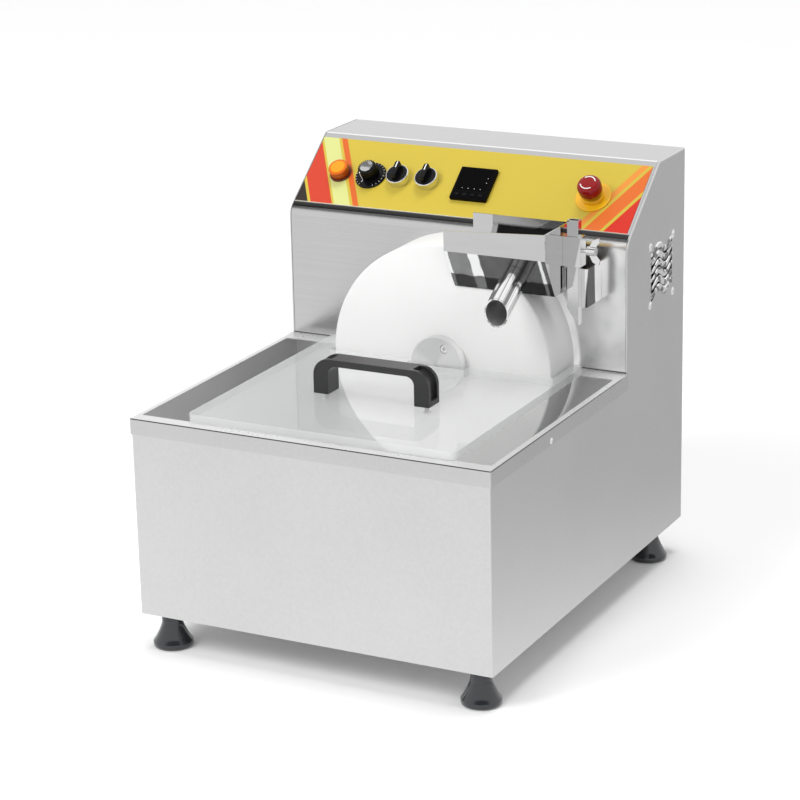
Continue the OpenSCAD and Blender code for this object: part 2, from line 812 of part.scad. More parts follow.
// Bezel and barrel of a selector
module selector_bezel(x) color("gainsboro") on_panel(x) difference() {
  union() {
    step(film_t, sel_h, sel_d / 2);
    step(-barrel_l, film_t, switch_r);
  }
  step(3, sel_h + 1, sel_d / 2 - 2.2);
  step(-15 - free_gap, 5, 6 + run_gap);
}

module selector_a_bezel() selector_bezel(sel_a_x);
module selector_b_bezel() selector_bezel(sel_b_x);

// Turning face of a selector with its grip bar and stem
module selector_knob(x) color("black") on_panel(x) {
  step(3 + free_gap, sel_h + 0.8, sel_d / 2 - 2.2 - free_gap);
  translate([-3.5, -10, sel_h + 0.8]) cube([7, 23, 8]);
  step(-15, 3 + free_gap, 6);
}

module selector_a_knob() selector_knob(sel_a_x);
module selector_b_knob() selector_knob(sel_b_x);

// Contact blocks behind the two selectors and the stop button
module contact_blocks() color("dimgray") for (x = [sel_a_x, sel_b_x, stop_x]) {
  on_panel(x) translate([-contact_w / 2, -contact_h / 2, -barrel_l - contact_l])
    cube([contact_w, contact_h, contact_l]);
}

// Places a child at one controller key
module at_key(i) {
  on_panel(ctrl_x) translate([-15.75 + 10.5 * i, -ctrl_w / 2 + 6, 0]) children();
}

// Temperature controller with its face and body
module controller() color("black") difference() {
  on_panel(ctrl_x) {
    translate([-ctrl_w / 2, -ctrl_w / 2, film_t]) cube([ctrl_w, ctrl_w, ctrl_h - film_t]);
    translate([-22.3, -22.3, -ctrl_depth]) cube([44.6, 44.6, ctrl_depth + film_t]);
  }
  on_panel(ctrl_x) translate([-20, -ctrl_w / 2 + 12, ctrl_h - 1.5]) cube([40, ctrl_w - 16, 5]);
  for (i = [0:3]) {
    at_key(i) translate([-3 - free_gap, -2 - free_gap, ctrl_h - 3.2 - key_travel])
      cube([6 + 2 * free_gap, 4 + 2 * free_gap, 9]);
  }
}

// Window over the controller's display
module controller_window() color("darkred") {
  on_panel(ctrl_x) translate([-20, -ctrl_w / 2 + 12, ctrl_h - 1.5]) cube([40, ctrl_w - 16, 1.2]);
}

// One key of the controller
module key(i) color("gray") {
  at_key(i) translate([-3, -2, ctrl_h - 2.7]) cube([6, 4, 3.4]);
}

module key_1() key(0);
module key_2() key(1);
module key_3() key(2);
module key_4() key(3);

// Base ring, collar and barrel of the stop button
module stop_ring() color("yellow") on_panel(stop_x) difference() {
  union() {
    step(film_t, 2.5, stop_ring_d / 2);
    step(2.5, 8, stop_d / 2 - 0.5);
    step(-barrel_l, film_t, switch_r);
  }
  step(-18 - free_gap, 9, 7 + run_gap);
}

// Mushroom head of the stop button with its stem
module stop_head() color("red") on_panel(stop_x) rotate_extrude() polygon(concat(
  [[0, stop_travel - 18], [7, stop_travel - 18], [7, 8.3 + stop_travel]],
  [[stop_d / 2 - 1.5, 8.3 + stop_travel], [stop_d / 2, 9.8 + stop_travel]],
  arc([stop_d / 2 - 6, stop_h - 6], 6, 0, 70, 6), [[0, stop_h]]
));

// Scraper chute folded and welded from sheet
module chute() color("gainsboro") difference() {
  union() {
    along_y(chute_y0, chute_y0 + chute_t) polygon([
      [chute_x0, chute_z], [chute_x1, chute_z],
      [chute_x1, chute_z + chute_lip_right], [chute_x0, chute_z + chute_lip_left]
    ]);
    along_x(chute_x0, chute_x1) polygon([
      [chute_y0, chute_z], [chute_y0 + chute_t, chute_z], [tip_y, tip_z], [tip_y - chute_t, tip_z]
    ]);
    along_x(chute_x1 - chute_t, chute_x1) polygon([
      [chute_y0, chute_z + chute_lip_right], [chute_y0, chute_z], [tip_y - chute_t, tip_z],
      [chute_y1, tip_z], [chute_y1, chute_z + chute_lip_right]
    ]);
    along_y(chute_y1 - chute_t, chute_y1) polygon([
      [back_x, chute_z + chute_lip_right], [back_x, chute_z], [ramp_x, ramp_z],
      [chute_x1, tip_z], [chute_x1, chute_z + chute_lip_right]
    ]);
    along_y(tip_y - chute_t, chute_y1) polygon([
      [ramp_x, ramp_z], [chute_x1, tip_z], [chute_x1, tip_z + 1.3 * chute_t],
      [ramp_x, ramp_z + 1.3 * chute_t]
    ]);
  }
  spout_axis() cylinder(h = 60, r = spout_d / 2 - spout_wall, center = true);
}

// Places a child at the spout's root, with its Z forward and down along the spout
module spout_axis() {
  translate([spout_x, spout_y, spout_z]) rotate([180 - slope_a, 0, 0]) children();
}

// Spout tube welded square to the sloped plate, its mouth cut upright
module spout() color("gainsboro") intersection() {
  spout_axis() difference() {
    cylinder(h = 120, r = spout_d / 2);
    translate([0, 0, -1]) cylinder(h = 122, r = spout_d / 2 - spout_wall);
  }
  block([spout_x - 50, mouth_y, spout_z - 150], [spout_x + 50, spout_y + 50, spout_z + 100]);
}

// Sleeve that slides on the post
module sleeve() color("gainsboro") difference() {
  block([chute_x1, post_y - sleeve_d / 2, sleeve_z],
    [chute_x1 + sleeve_w, post_y + sleeve_d / 2, sleeve_z + sleeve_h]);
  block([post_x - post_w / 2 - free_gap, post_y - post_d / 2 - free_gap, sleeve_z - 1],
    [post_x + post_w / 2 + free_gap, post_y + post_d / 2 + free_gap, sleeve_z + sleeve_h + 1]);
  rod_x(post_y, wing_z, post_x, chute_x1 + sleeve_w + 1, wing_d / 2 + run_gap);
}

// Wing screw that clamps the sleeve
module wing_screw() color("silver") translate([post_x + post_w / 2, post_y, wing_z]) {
  rod_x(0, 0, 0.5, 20, wing_d / 2);
  rod_x(0, 0, sleeve_wall + 6, 20, 5.5);
  for (s = [-1, 1]) {
    rotate([s * 90 - 90, 0, 0]) along_y(-1.5, 1.5) polygon([
      [sleeve_wall + 8, 4], [19, 4], [25, wing_l - 2], [24, wing_l + 3], [sleeve_wall + 13, wing_l]
    ]);
  }
}

// Rectangular tube post with a cut lower end
module post() color("gainsboro") difference() {
  block([post_x - post_w / 2, post_y - post_d / 2, post_top - post_l],
    [post_x + post_w / 2, post_y + post_d / 2, post_top]);
  block([post_x - post_w / 2 + post_wall, post_y - post_d / 2 + post_wall, post_top - post_l - 1],
    [post_x + post_w / 2 - post_wall, post_y + post_d / 2 - post_wall, post_top + 1]);
  translate([post_x + post_w / 2 + 1, post_y - 20, post_top - post_l]) rotate([0, 145, 0])
    translate([0, 0, -40]) cube([40, 40, 90]);
}

// Folded bracket that holds the post off the housing, flanged on its hidden side
module post_bracket() color("gainsboro") difference() {
  translate([0, 0, web_z]) {
    block([web_x0, web_y, 0], [web_x1, web_y + 2, post_bracket_h]);
    block([web_x0, web_y, 0], [web_x0 + 2, wall_y, post_bracket_h]);
    block([web_x1 - 2, web_y, 0], [web_x1, wall_y, post_bracket_h]);
    block([web_x0 - 14, wall_y - 2, 0], [web_x0 + 2, wall_y, post_bracket_h]);
  }
  each_screw() screw_hole();
}

// Clear lid that lies on the rim, open around the wheel and its hub
module lid() color([0.8, 0.9, 0.95, 0.5]) difference() {
  union() {
    block([-lid_left, lid_y0 + lid_r, lid_z], [lid_right, lid_y1 - lid_r, lid_top]);
    block([-lid_left + lid_r, lid_y0, lid_z], [lid_right - lid_r, lid_y1, lid_top]);
    for (x = [-lid_left + lid_r, lid_right - lid_r], y = [lid_y0 + lid_r, lid_y1 - lid_r]) {
      translate([x, y, lid_z]) cylinder(h = lid_t, r = lid_r);
    }
  }
  block([notch_l, notch_y, lid_z - 1], [notch_r, lid_y1 + 1, lid_top + 1]);
  block([wheel_x - recess_x, recess_y, lid_z - 1], [wheel_x + recess_x, notch_y + 1, lid_top + 1]);
  each_handle_screw() {
    cylinder(h = lid_t + 1, r = 2.5 + screw_gap);
    translate([0, 0, -csk_sink]) cylinder(h = csk_h + 2 * csk_sink, r1 = csk_r + 2 * csk_sink + screw_gap,
      r2 = 2.5 + screw_gap);
  }
}

// Places a child under the lid at each leg of the handle
module each_handle_screw() {
  for (s = [-1, 1]) {
    translate([grip_x + s * leg_x, grip_y, lid_z]) children();
  }
}

// The outline of the handle in X and Z, set in by d from the outside
function handle_outline(d) = concat(
  [[handle_w / 2 - d, 0]], arc([handle_w / 2 - 20, handle_h - 20], 20 - d, 0, 90),
  arc([20 - handle_w / 2, handle_h - 20], 20 - d, 90, 180), [[d - handle_w / 2, 0]]
);

// Bridge handle with hollow outer sides
module lid_handle() color("black") translate([grip_x, 0, lid_top]) difference() {
  inner = handle_w / 2 - handle_leg;
  along_y(grip_y - handle_d / 2, grip_y + handle_d / 2) polygon(concat(
    handle_outline(0), [[-inner, 0]],
    arc([10 - inner, handle_h - handle_bar - 10], 10, 180, 90),
    arc([inner - 10, handle_h - handle_bar - 10], 10, 90, 0), [[inner, 0]]
  ));
  for (s = [-1, 1]) {
    mirror([s < 0 ? 1 : 0, 0, 0]) difference() {
      block(
        [handle_w / 2 - 22, grip_y - handle_d / 2 + 5, 6],
        [handle_w / 2 + 5, grip_y + handle_d / 2 - 5, 60]
      );
      along_y(grip_y - handle_d, grip_y + handle_d) polygon(handle_outline(4.5));
    }
  }
  for (s = [-1, 1]) {
    translate([s * leg_x, grip_y, -1]) cylinder(h = 14, r = 2.5 + screw_gap);
  }
}

// Countersunk screws up through the lid into the handle
module handle_screws() color("gray") each_handle_screw() {
  translate([0, 0, csk_sink]) cylinder(h = csk_h, r1 = csk_r, r2 = 2.5);
  translate([0, 0, 1]) cylinder(h = lid_t + 10, r = 2.5);
}

// Fan frame behind the vent with its motor base and spindle
module fan_frame() color("black") translate([0, fan_y, fan_z]) difference() {
  union() {
    difference() {
      block([fan_x, -fan_w / 2, -fan_w / 2], [in_x, fan_w / 2, fan_w / 2]);
      rod_x(0, 0, fan_x - 1, in_x + 1, fan_w / 2 - 2);
    }
    rod_x(0, 0, fan_x, fan_x + 4, 17);
    for (a = [30, 150, 270]) {
      rotate([a, 0, 0]) block([fan_x, 10, -2], [fan_x + 4, fan_w / 2 - 1, 2]);
    }
    rod_x(0, 0, fan_x, in_x - 8, 1.5);
  }
  for (y = [-1, 1], z = [-1, 1]) {
    rod_x(y * fan_pitch / 2, z * fan_pitch / 2, fan_x - 1, in_x + 1, screw_r + screw_gap);
  }
}

// Fan rotor with seven blades
module fan_rotor() color("dimgray") translate([0, fan_y, fan_z]) difference() {
  union() {
    rod_x(0, 0, fan_x + 5, in_x - 3, 17);
    for (i = [0:6]) {
      rotate([i * 360 / 7, 0, 0]) translate([fan_x + fan_t / 2 + 1, 0, 0]) fan_blade();
    }
  }
  rod_x(0, 0, fan_x, in_x - 7, 1.5 + run_gap);
}

// One pitched blade along Z
module fan_blade() {
  rotate([0, 0, 40]) translate([-0.8, -9, 15]) cube([1.6, 18, fan_w / 2 - 18.5]);
}

// Solid-state relay of the heater on its heat sink
module heater_relay() color("black") translate([relay_x, bay_y, base_z + floor_t]) {
  cube([relay_w, relay_d, relay_h / 3]);
  translate([6, 7, relay_h / 3]) cube([relay_w - 12, relay_d - 14, relay_h * 2 / 3]);
}

// Speed control board on its stand-offs
module speed_board() color("green") translate([board_x, bay_y, base_z + floor_t]) {
  for (x = [8, board_w - 8], y = [8, board_d - 8]) {
    translate([x, y, 0]) cylinder(h = board_rise, r = 3.5);
  }
  translate([0, 0, board_rise]) {
    cube([board_w, board_d, 1.6]);
    translate([0.24 * board_w, 0.63 * board_d, 1.6]) cylinder(h = 26, r = 11);
    translate([0.48 * board_w, 0.43 * board_d, 1.6]) cube([0.36 * board_w, 0.4 * board_d, 22]);
  }
}

// Terminal block on the base plate
module terminal_block() color("beige") {
  translate([term_x, bay_y + (board_d - term_d) / 2, base_z + floor_t]) difference() {
    cube([term_w, term_d, term_h]);
    for (i = [0:6]) {
      translate([3 + i * (term_w - 3.5) / 7, -1, term_h / 2]) cube([9, 9, term_h]);
    }
  }
}

// Mains inlet in the rear cover
module power_inlet() color("black") translate([inlet_x, back_y, inlet_z]) difference() {
  union() {
    block([-24, 0, -15], [24, inlet_lip, 15]);
    block([-13.8, -28, -10.3], [13.8, 1, 10.3]);
  }
  difference() {
    block([-12, -20, -8], [12, inlet_lip + 1, 8]);
    for (x = [-7, 0, 7]) {
      block([x - 1, -21, x == 0 ? -1 : -4], [x + 1, -3, x == 0 ? 5 : 2]);
    }
  }
}

casing_wrap();
hood();
base_plate();
rear_cover();
tank_rim();
basin();
heater_mat();
insulation();
temperature_probe();
foot_front_left();
foot_front_right();
foot_rear_left();
foot_rear_right();
foot_studs();
sheet_screws();
wheel();
hub_plate();
hub_bolts();
wheel_shaft();
flange_bearing();
shaft_seal();
coupling();
gearbox();
gearbox_shaft();
motor();
motor_bracket();
panel_film();
lamp_body();
lamp_lens();
speed_knob();
knob_cap();
potentiometer();
selector_a_bezel();
selector_a_knob();
selector_b_bezel();
selector_b_knob();
contact_blocks();
controller();
controller_window();
key_1();
key_2();
key_3();
key_4();
stop_ring();
stop_head();
chute();
spout();
sleeve();
wing_screw();
post();
post_bracket();
lid();
lid_handle();
handle_screws();
fan_frame();
fan_rotor();
heater_relay();
speed_board();
terminal_block();
power_inlet();
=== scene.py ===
"""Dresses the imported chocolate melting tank: steel casing, wheel, chute, clear lid and control panel."""
import json
import logging
import math
from dataclasses import dataclass
from enum import Enum
from typing import Any, Callable, Iterable, Optional, Sequence, Union

import bmesh
import bpy
from mathutils import Matrix, Vector


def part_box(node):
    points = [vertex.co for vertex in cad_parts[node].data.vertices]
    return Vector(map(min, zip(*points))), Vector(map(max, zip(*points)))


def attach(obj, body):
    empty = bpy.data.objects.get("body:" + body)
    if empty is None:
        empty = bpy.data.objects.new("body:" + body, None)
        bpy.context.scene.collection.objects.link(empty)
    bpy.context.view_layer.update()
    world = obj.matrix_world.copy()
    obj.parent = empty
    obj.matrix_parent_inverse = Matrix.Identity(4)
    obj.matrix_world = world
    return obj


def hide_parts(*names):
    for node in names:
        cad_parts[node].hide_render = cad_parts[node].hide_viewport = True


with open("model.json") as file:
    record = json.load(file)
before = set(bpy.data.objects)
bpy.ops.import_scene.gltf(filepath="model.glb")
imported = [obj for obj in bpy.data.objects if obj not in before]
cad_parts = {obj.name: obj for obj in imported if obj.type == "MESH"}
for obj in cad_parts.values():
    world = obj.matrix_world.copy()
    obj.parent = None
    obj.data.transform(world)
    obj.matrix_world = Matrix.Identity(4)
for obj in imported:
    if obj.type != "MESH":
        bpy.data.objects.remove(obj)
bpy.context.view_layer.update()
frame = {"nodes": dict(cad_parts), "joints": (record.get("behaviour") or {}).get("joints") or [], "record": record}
LOG = logging.getLogger("melting_tank")

Colour = tuple[float, float, float]
Number = Union[float, "Value"]
MM = 0.001


def linear(part: int) -> float:
    """Turns one channel of a screen colour, from 0 to 255, into the number that a shader takes."""
    value = part / 255.0
    return value / 12.92 if value <= 0.04045 else ((value + 0.055) / 1.055) ** 2.4


def srgb(red: int, green: int, blue: int) -> Colour:
    """Turns a screen colour into the linear colour that a shader takes."""
    return linear(red), linear(green), linear(blue)


class Tree:
    """Builds the nodes of a shader or geometry tree.

    Args:
        tree: The node tree to fill.
    """

    def __init__(self, tree: bpy.types.NodeTree) -> None:
        """Keeps the tree."""
        self.tree = tree

    def node(self, kind: str, settings: Optional[dict[str, Any]] = None,
             inputs: Optional[dict[Union[str, int], Any]] = None) -> bpy.types.Node:
        """Adds one node.

        Args:
            kind: The node's type name.
            settings: Properties to set first.
            inputs: Values or links by socket name or number.

        Returns:
            The new node.
        """
        made = self.tree.nodes.new(kind)
        for key, value in (settings or {}).items():
            setattr(made, key, value)
        for key, value in (inputs or {}).items():
            self.feed(made.inputs[key], value)
        return made

    def feed(self, socket: bpy.types.NodeSocket, value: Any) -> None:
        """Links or sets one input socket.

        Args:
            socket: The input.
            value: A number, a colour, another plain value or an output socket.
        """
        if isinstance(value, Value):
            self.tree.links.new(value.socket, socket)
        elif isinstance(value, bpy.types.NodeSocket):
            self.tree.links.new(value, socket)
        elif socket.type == "RGBA" and len(value) == 3:
            socket.default_value = (*value, 1.0)
        else:
            socket.default_value = value


class Value:
    """A number socket that grows Math nodes when it is used in an expression.

    Args:
        graph: The tree that holds the socket.
        socket: The output socket that carries the number.
    """

    def __init__(self, graph: Tree, socket: bpy.types.NodeSocket) -> None:
        """Keeps the socket and its tree."""
        self.graph = graph
        self.socket = socket

    def math(self, operation: str, *others: Number, reverse: bool = False) -> "Value":
        """Adds a Math node on this value and the others.

        Args:
            operation: The Math node's operation.
            others: The other terms.
            reverse: Whether this value comes last.

        Returns:
            The result.
        """
        terms: list[Number] = [self, *others]
        if reverse:
            terms.reverse()
        made = self.graph.node("ShaderNodeMath", {"operation": operation}, dict(enumerate(terms)))
        return Value(self.graph, made.outputs[0])

    def __add__(self, other: Number) -> "Value":
        """Adds."""
        return self.math("ADD", other)

    def __sub__(self, other: Number) -> "Value":
        """Subtracts."""
        return self.math("SUBTRACT", other)

    def __rsub__(self, other: Number) -> "Value":
        """Subtracts this value from a number."""
        return self.math("SUBTRACT", other, reverse=True)

    def __mul__(self, other: Number) -> "Value":
        """Multiplies."""
        return self.math("MULTIPLY", other)

    def __truediv__(self, other: Number) -> "Value":
        """Divides."""
        return self.math("DIVIDE", other)

    __radd__ = __add__
    __rmul__ = __mul__

    def absolute(self) -> "Value":
        """Drops the sign."""
        return self.math("ABSOLUTE")

    def ease(self, low: float, high: float) -> "Value":
        """Rises smoothly from zero at low to one at high.

        Args:
            low: Where the rise starts.
            high: Where it ends.

        Returns:
            The eased value.
        """
        made = self.graph.node("ShaderNodeMapRange", {"interpolation_type": "SMOOTHSTEP"},
                               {"Value": self, "From Min": low, "From Max": high})
        return Value(self.graph, made.outputs["Result"])

    def band(self, low: float, high: float, soft: float) -> "Value":
        """Is one between low and high, with soft edges."""
        return self.ease(low - soft, low + soft) * (1.0 - self.ease(high - soft, high + soft))


class Graph(Tree):
    """A material's shader tree with its Principled shader.

    Args:
        name: The material's name.
    """

    def __init__(self, name: str) -> None:
        """Starts the tree with its shader and output."""
        self.material = bpy.data.materials.new(name)
        self.material.use_nodes = True
        super().__init__(self.material.node_tree)
        self.tree.nodes.clear()
        self.shader = self.node("ShaderNodeBsdfPrincipled")
        self.end = self.node("ShaderNodeOutputMaterial", inputs={"Surface": self.shader.outputs[0]})

    def set(self, **sockets: Any) -> None:
        """Sets or links the shader's sockets, named with underscores for spaces."""
        for key, value in sockets.items():
            self.feed(self.shader.inputs[key.replace("_", " ")], value)

    def place(self, scale: Sequence[float] = (1, 1, 1), turn: Sequence[float] = (0, 0, 0),
              centre: Sequence[float] = (0, 0, 0)) -> bpy.types.NodeSocket:
        """Gives Object coordinates, moved to a centre, turned and scaled.

        Args:
            scale: The scale along each axis.
            turn: The turn about each axis in radians.
            centre: The point that becomes zero.

        Returns:
            The vector.
        """
        coords = self.node("ShaderNodeTexCoord").outputs["Object"]
        shifted = self.node("ShaderNodeVectorMath", {"operation": "SUBTRACT"}, {0: coords, 1: tuple(centre)})
        return self.node("ShaderNodeMapping", {"vector_type": "POINT"},
                         {"Vector": shifted.outputs[0], "Rotation": tuple(turn), "Scale": tuple(scale)}).outputs[0]

    def axis_values(self, vector: bpy.types.NodeSocket) -> tuple[Value, Value, Value]:
        """Splits a vector into its three numbers."""
        split = self.node("ShaderNodeSeparateXYZ", inputs={0: vector})
        return Value(self, split.outputs[0]), Value(self, split.outputs[1]), Value(self, split.outputs[2])

    def grey(self, level: Value) -> bpy.types.NodeSocket:
        """Makes a grey of a number."""
        return self.node("ShaderNodeCombineColor", inputs={0: level, 1: level, 2: level}).outputs[0]

    def normal(self) -> tuple[Value, Value, Value]:
        """Gives the surface's direction as three numbers."""
        return self.axis_values(self.node("ShaderNodeNewGeometry").outputs["Normal"])

    def noise(self, vector: bpy.types.NodeSocket, scale: float = 1.0, detail: float = 3.0,
              rough: float = 0.55) -> Value:
        """Adds a noise texture.

        Args:
            vector: Where the noise is read.
            scale: Its scale.
            detail: Its octaves.
            rough: How strong the finer octaves are.

        Returns:
            The noise's factor.
        """
        made = self.node("ShaderNodeTexNoise", {"noise_dimensions": "3D"},
                         {"Vector": vector, "Scale": scale, "Detail": detail, "Roughness": rough})
        return Value(self, made.outputs[0])

    def blend(self, mask: Value, low: Any, high: Any) -> bpy.types.NodeSocket:
        """Mixes two colours by a mask."""
        made = self.node("ShaderNodeMix", {"data_type": "RGBA"}, {0: mask, 6: low, 7: high})
        return made.outputs[2]

    def bump(self, height: Value, strength: float, distance: float) -> bpy.types.NodeSocket:
        """Turns a height into a normal."""
        return self.node("ShaderNodeBump", inputs={"Height": height, "Strength": strength,
                                                   "Distance": distance}).outputs[0]


class Grain(Enum):
    """The direction that a sheet is brushed in."""

    ALONG_X = (3.0, 520.0, 520.0)
    NONE = (240.0, 240.0, 240.0)


@dataclass(frozen=True)
class SheetSteel:
    """Stainless sheet with brushed grain and faint clouds."""

    name: str
    tint: float = 0.62
    rough: float = 0.34
    grain: Grain = Grain.ALONG_X
    streak: float = 0.10
    relief: float = 0.06
    metal: float = 1.0

    def shade(self, g: Graph, tone: bpy.types.NodeSocket) -> dict[str, Any]:
        """Gives the colour and the metal share over the sheet."""
        return {"Base_Color": tone, "Metallic": self.metal}

    def build(self) -> bpy.types.Material:
        """Makes the material.

        Returns:
            The material.
        """
        g = Graph(self.name)
        lines = g.noise(g.place(self.grain.value), 1.0, 4.0, 0.7)
        fine = g.noise(g.place((900, 900, 900)), 1.0, 2.0)
        cloud = g.noise(g.place((7, 7, 7)), 1.0, 3.0)
        low = (self.tint * (1 - self.streak),) * 3
        high = (min(1.0, self.tint * (1 + self.streak)),) * 3
        tone = g.blend((lines * 0.6 + cloud * 0.4).ease(0.25, 0.75), low, high)
        g.set(Roughness=self.rough + (lines - 0.5) * 0.16 + (cloud - 0.5) * 0.12,
              Normal=g.bump(lines * 0.7 + fine * 0.3, self.relief, 0.0006), **self.shade(g, tone))
        return g.material


@dataclass(frozen=True)
class FrostedSteel(SheetSteel):
    """Sheet whose upper faces are blasted matt, with painted shade darkening its rounded fold."""

    pale: float = 0.86
    share: float = 0.7
    # How strongly the painted shade darkens the rounded fold.
    crease: float = 0.0

    def shade(self, g: Graph, tone: bpy.types.NodeSocket) -> dict[str, Any]:
        """Makes the upper faces matt and paints shade on the fold.

        Args:
            g: The material's tree.
            tone: The plain steel's colour.

        Returns:
            The colour and the metal share.
        """
        up = g.normal()[2]
        top = up.ease(0.86, 0.95)
        tone = g.blend(top, tone, (self.pale,) * 3)
        # Painted shade: faces on the rounded fold, between flat and upright, are darkened nearly to black.
        if self.crease:
            tone = g.blend(up.band(0.3, 0.84, 0.02) * self.crease, tone, (0.02, 0.02, 0.02))
        return {"Base_Color": tone, "Metallic": 1.0 - top * self.share}


@dataclass(frozen=True)
class FoldedSteel(SheetSteel):
    """Sheet with a painted dark reflection in the fold below the control film, a painted highlight on the top bend
    and painted light on the wall beside the post.
    """

    corner: tuple[float, float, float] = (0.0, 0.0, 0.0)
    tilt: float = 0.0
    # Where the painted light on the wall's right end begins, across from the corner.
    cloud: float = 0.125

    def shade(self, g: Graph, tone: bpy.types.NodeSocket) -> dict[str, Any]:
        """Paints a dark reflection on the upper part of the fold, a highlight on the top bend and light over the
        wall's right end.

        Args:
            g: The material's tree.
            tone: The plain steel's colour.

        Returns:
            The colour and the metal share.
        """
        x, y, z = g.axis_values(g.place(centre=self.corner))
        # Painted light: pale noisy patches lift the wall's right end beside the post, where shade falls.
        painted_light_patch = g.noise(g.place((16, 16, 12)), 1.0, 2.0).ease(0.22, 0.62) * x.ease(self.cloud, self.cloud + 0.03)
        tone = g.blend(painted_light_patch * (g.normal()[1] * -1.0).ease(0.8, 0.95), tone, (1.0, 1.0, 1.0))
        # Painted dark reflection: the upper part of the fold, just below the film, goes nearly black.
        rise = y * math.cos(self.tilt) + z * math.sin(self.tilt)
        line = g.normal()[2].ease(0.62, 0.66) * (1.0 - rise.ease(-0.0008, 0.0)) * 0.92
        # Painted highlight: a white line along the bend between the slope and the top.
        tone = g.blend(g.normal()[2].band(0.805, 0.985, 0.008), tone, (1.0, 1.0, 1.0))
        return {"Base_Color": g.blend(line, tone, (0.015, 0.015, 0.015)), "Metallic": self.metal}


@dataclass(frozen=True)
class PolishedSteel:
    """Mirror-bright steel with wiping marks."""

    name: str
    tint: float = 0.74
    rough: float = 0.09
    smear: float = 0.10

    def shade(self, g: Graph, tone: bpy.types.NodeSocket) -> bpy.types.NodeSocket:
        """Gives the colour over the steel."""
        return tone

    def build(self) -> bpy.types.Material:
        """Makes the material.

        Returns:
            The material.
        """
        g = Graph(self.name)
        wipe = g.noise(g.place((18, 40, 70)), 1.0, 4.0, 0.6)
        hair = g.noise(g.place((40, 900, 900), (0.2, 0.4, 0.3)), 1.0, 3.0)
        tone = g.blend(wipe, (self.tint * 0.9,) * 3, (self.tint,) * 3)
        g.set(Base_Color=self.shade(g, tone), Metallic=1.0,
              Roughness=self.rough + wipe.ease(0.45, 0.8) * self.smear,
              Normal=g.bump(hair, 0.03, 0.0003))
        return g.material


@dataclass(frozen=True)
class TroughSteel(PolishedSteel):
    """Polished trough with painted shade on the inner faces between its plates and painted reflection bands below.

    Places are measured from the trough's lowest corner: across for the bands, up for the two levels.
    """

    corner: tuple[float, float, float] = (0.0, 0.0, 0.0)
    end: float = 4 * MM
    block: tuple[float, float] = (4 * MM, 30 * MM)
    stripes: tuple[tuple[float, float], ...] = ((30 * MM, 43 * MM), (119 * MM, 123 * MM))
    # Height below which the underside's painted reflection bands turn dark.
    soot: float = 17.5 * MM
    shade_top: float = 51 * MM
    soft: float = 1 * MM

    def shade(self, g: Graph, tone: bpy.types.NodeSocket) -> bpy.types.NodeSocket:
        """Paints reflection bands on the sloped underside and shade on the inner faces between the plates.

        Args:
            g: The material's tree.
            tone: The plain steel's colour.

        Returns:
            The colour.
        """
        x, _, z = g.axis_values(g.place(centre=self.corner))
        _, back, up = g.normal()
        ripple = g.noise(g.place((90, 30, 60)), 1.0, 3.0)
        wavy = x + (ripple - 0.5) * 0.004
        # Painted reflection bands on the sloped underside: pale stripes, a grey block and a dark lower band.
        pale = 1.0 - wavy.ease(self.end - self.soft, self.end + self.soft)
        for stripe in self.stripes:
            pale = pale + wavy.band(*stripe, self.soft)
        grey = wavy.band(*self.block, self.soft) * 0.12 + 0.08 + ripple * 0.12
        deep = 1.0 - (z + (ripple - 0.5) * 0.006).ease(self.soot - self.soft, self.soot + self.soft)
        painted_reflection_bands = (pale * 0.9 + grey) * (1.0 - deep * 0.8)
        tone = g.blend((up * -1.0).ease(0.3, 0.45), tone, g.grey(painted_reflection_bands))
        # Painted shade: the inner faces looking back, between the plates and below their top, go nearly black.
        inner = x.ease(6.5 * MM, 7.5 * MM) * (1.0 - z.ease(self.shade_top - 2 * MM, self.shade_top + 2 * MM))
        dark = back.ease(0.3, 0.5) * inner
        return g.blend(dark, tone, (0.02, 0.02, 0.02))


@dataclass(frozen=True)
class PatchSteel(PolishedSteel):
    """Polished steel with painted dark patches that stand for reflections and shade."""

    patch: tuple[float, float, float] = (42, 42, 5)
    share: tuple[float, float] = (0.54, 0.57)
    # The dark tone of the painted reflection and shade patches.
    deep: float = 0.06

    def shade(self, g: Graph, tone: bpy.types.NodeSocket) -> bpy.types.NodeSocket:
        """Lays painted dark patches of reflection and shade over the steel."""
        patch = g.noise(g.place(self.patch, (0.37, 0.1, 0.2)), 1.0, 1.0, 0.4).ease(*self.share)
        return g.blend(patch, tone, (self.deep,) * 3)


@dataclass(frozen=True)
class TubeSteel:
    """Polished tube with painted reflection streaks along its length, dull inside its bore."""

    name: str
    root: tuple[float, float, float]
    axis: tuple[float, float, float]
    bore: float
    tint: float = 0.92
    rough: float = 0.13

    def build(self) -> bpy.types.Material:
        """Makes the material.

        Returns:
            The material.
        """
        g = Graph(self.name)
        aside = g.node("ShaderNodeVectorMath", {"operation": "CROSS_PRODUCT"},
                       {0: g.place(centre=self.root), 1: self.axis}).outputs[0]
        reach = Value(g, g.node("ShaderNodeVectorMath", {"operation": "LENGTH"}, {0: aside}).outputs["Value"])
        inside = 1.0 - reach.ease(self.bore + 0.0002, self.bore + 0.0009)
        way = g.node("ShaderNodeVectorMath", {"operation": "NORMALIZE"}, {0: aside}).outputs[0]
        # Painted reflection: light and dark streaks along the tube, set by the way round its axis.
        reflection_streaks = g.noise(way, 4.2, 3.0, 0.6)
        shine = g.blend(reflection_streaks.ease(0.36, 0.50), (self.tint * 0.25,) * 3, (self.tint,) * 3)
        g.set(Base_Color=g.blend(inside, shine, (0.5, 0.5, 0.5)), Metallic=1.0,
              Roughness=self.rough + inside * 0.4, Normal=g.bump(reflection_streaks, 0.02, 0.0003))
        return g.material


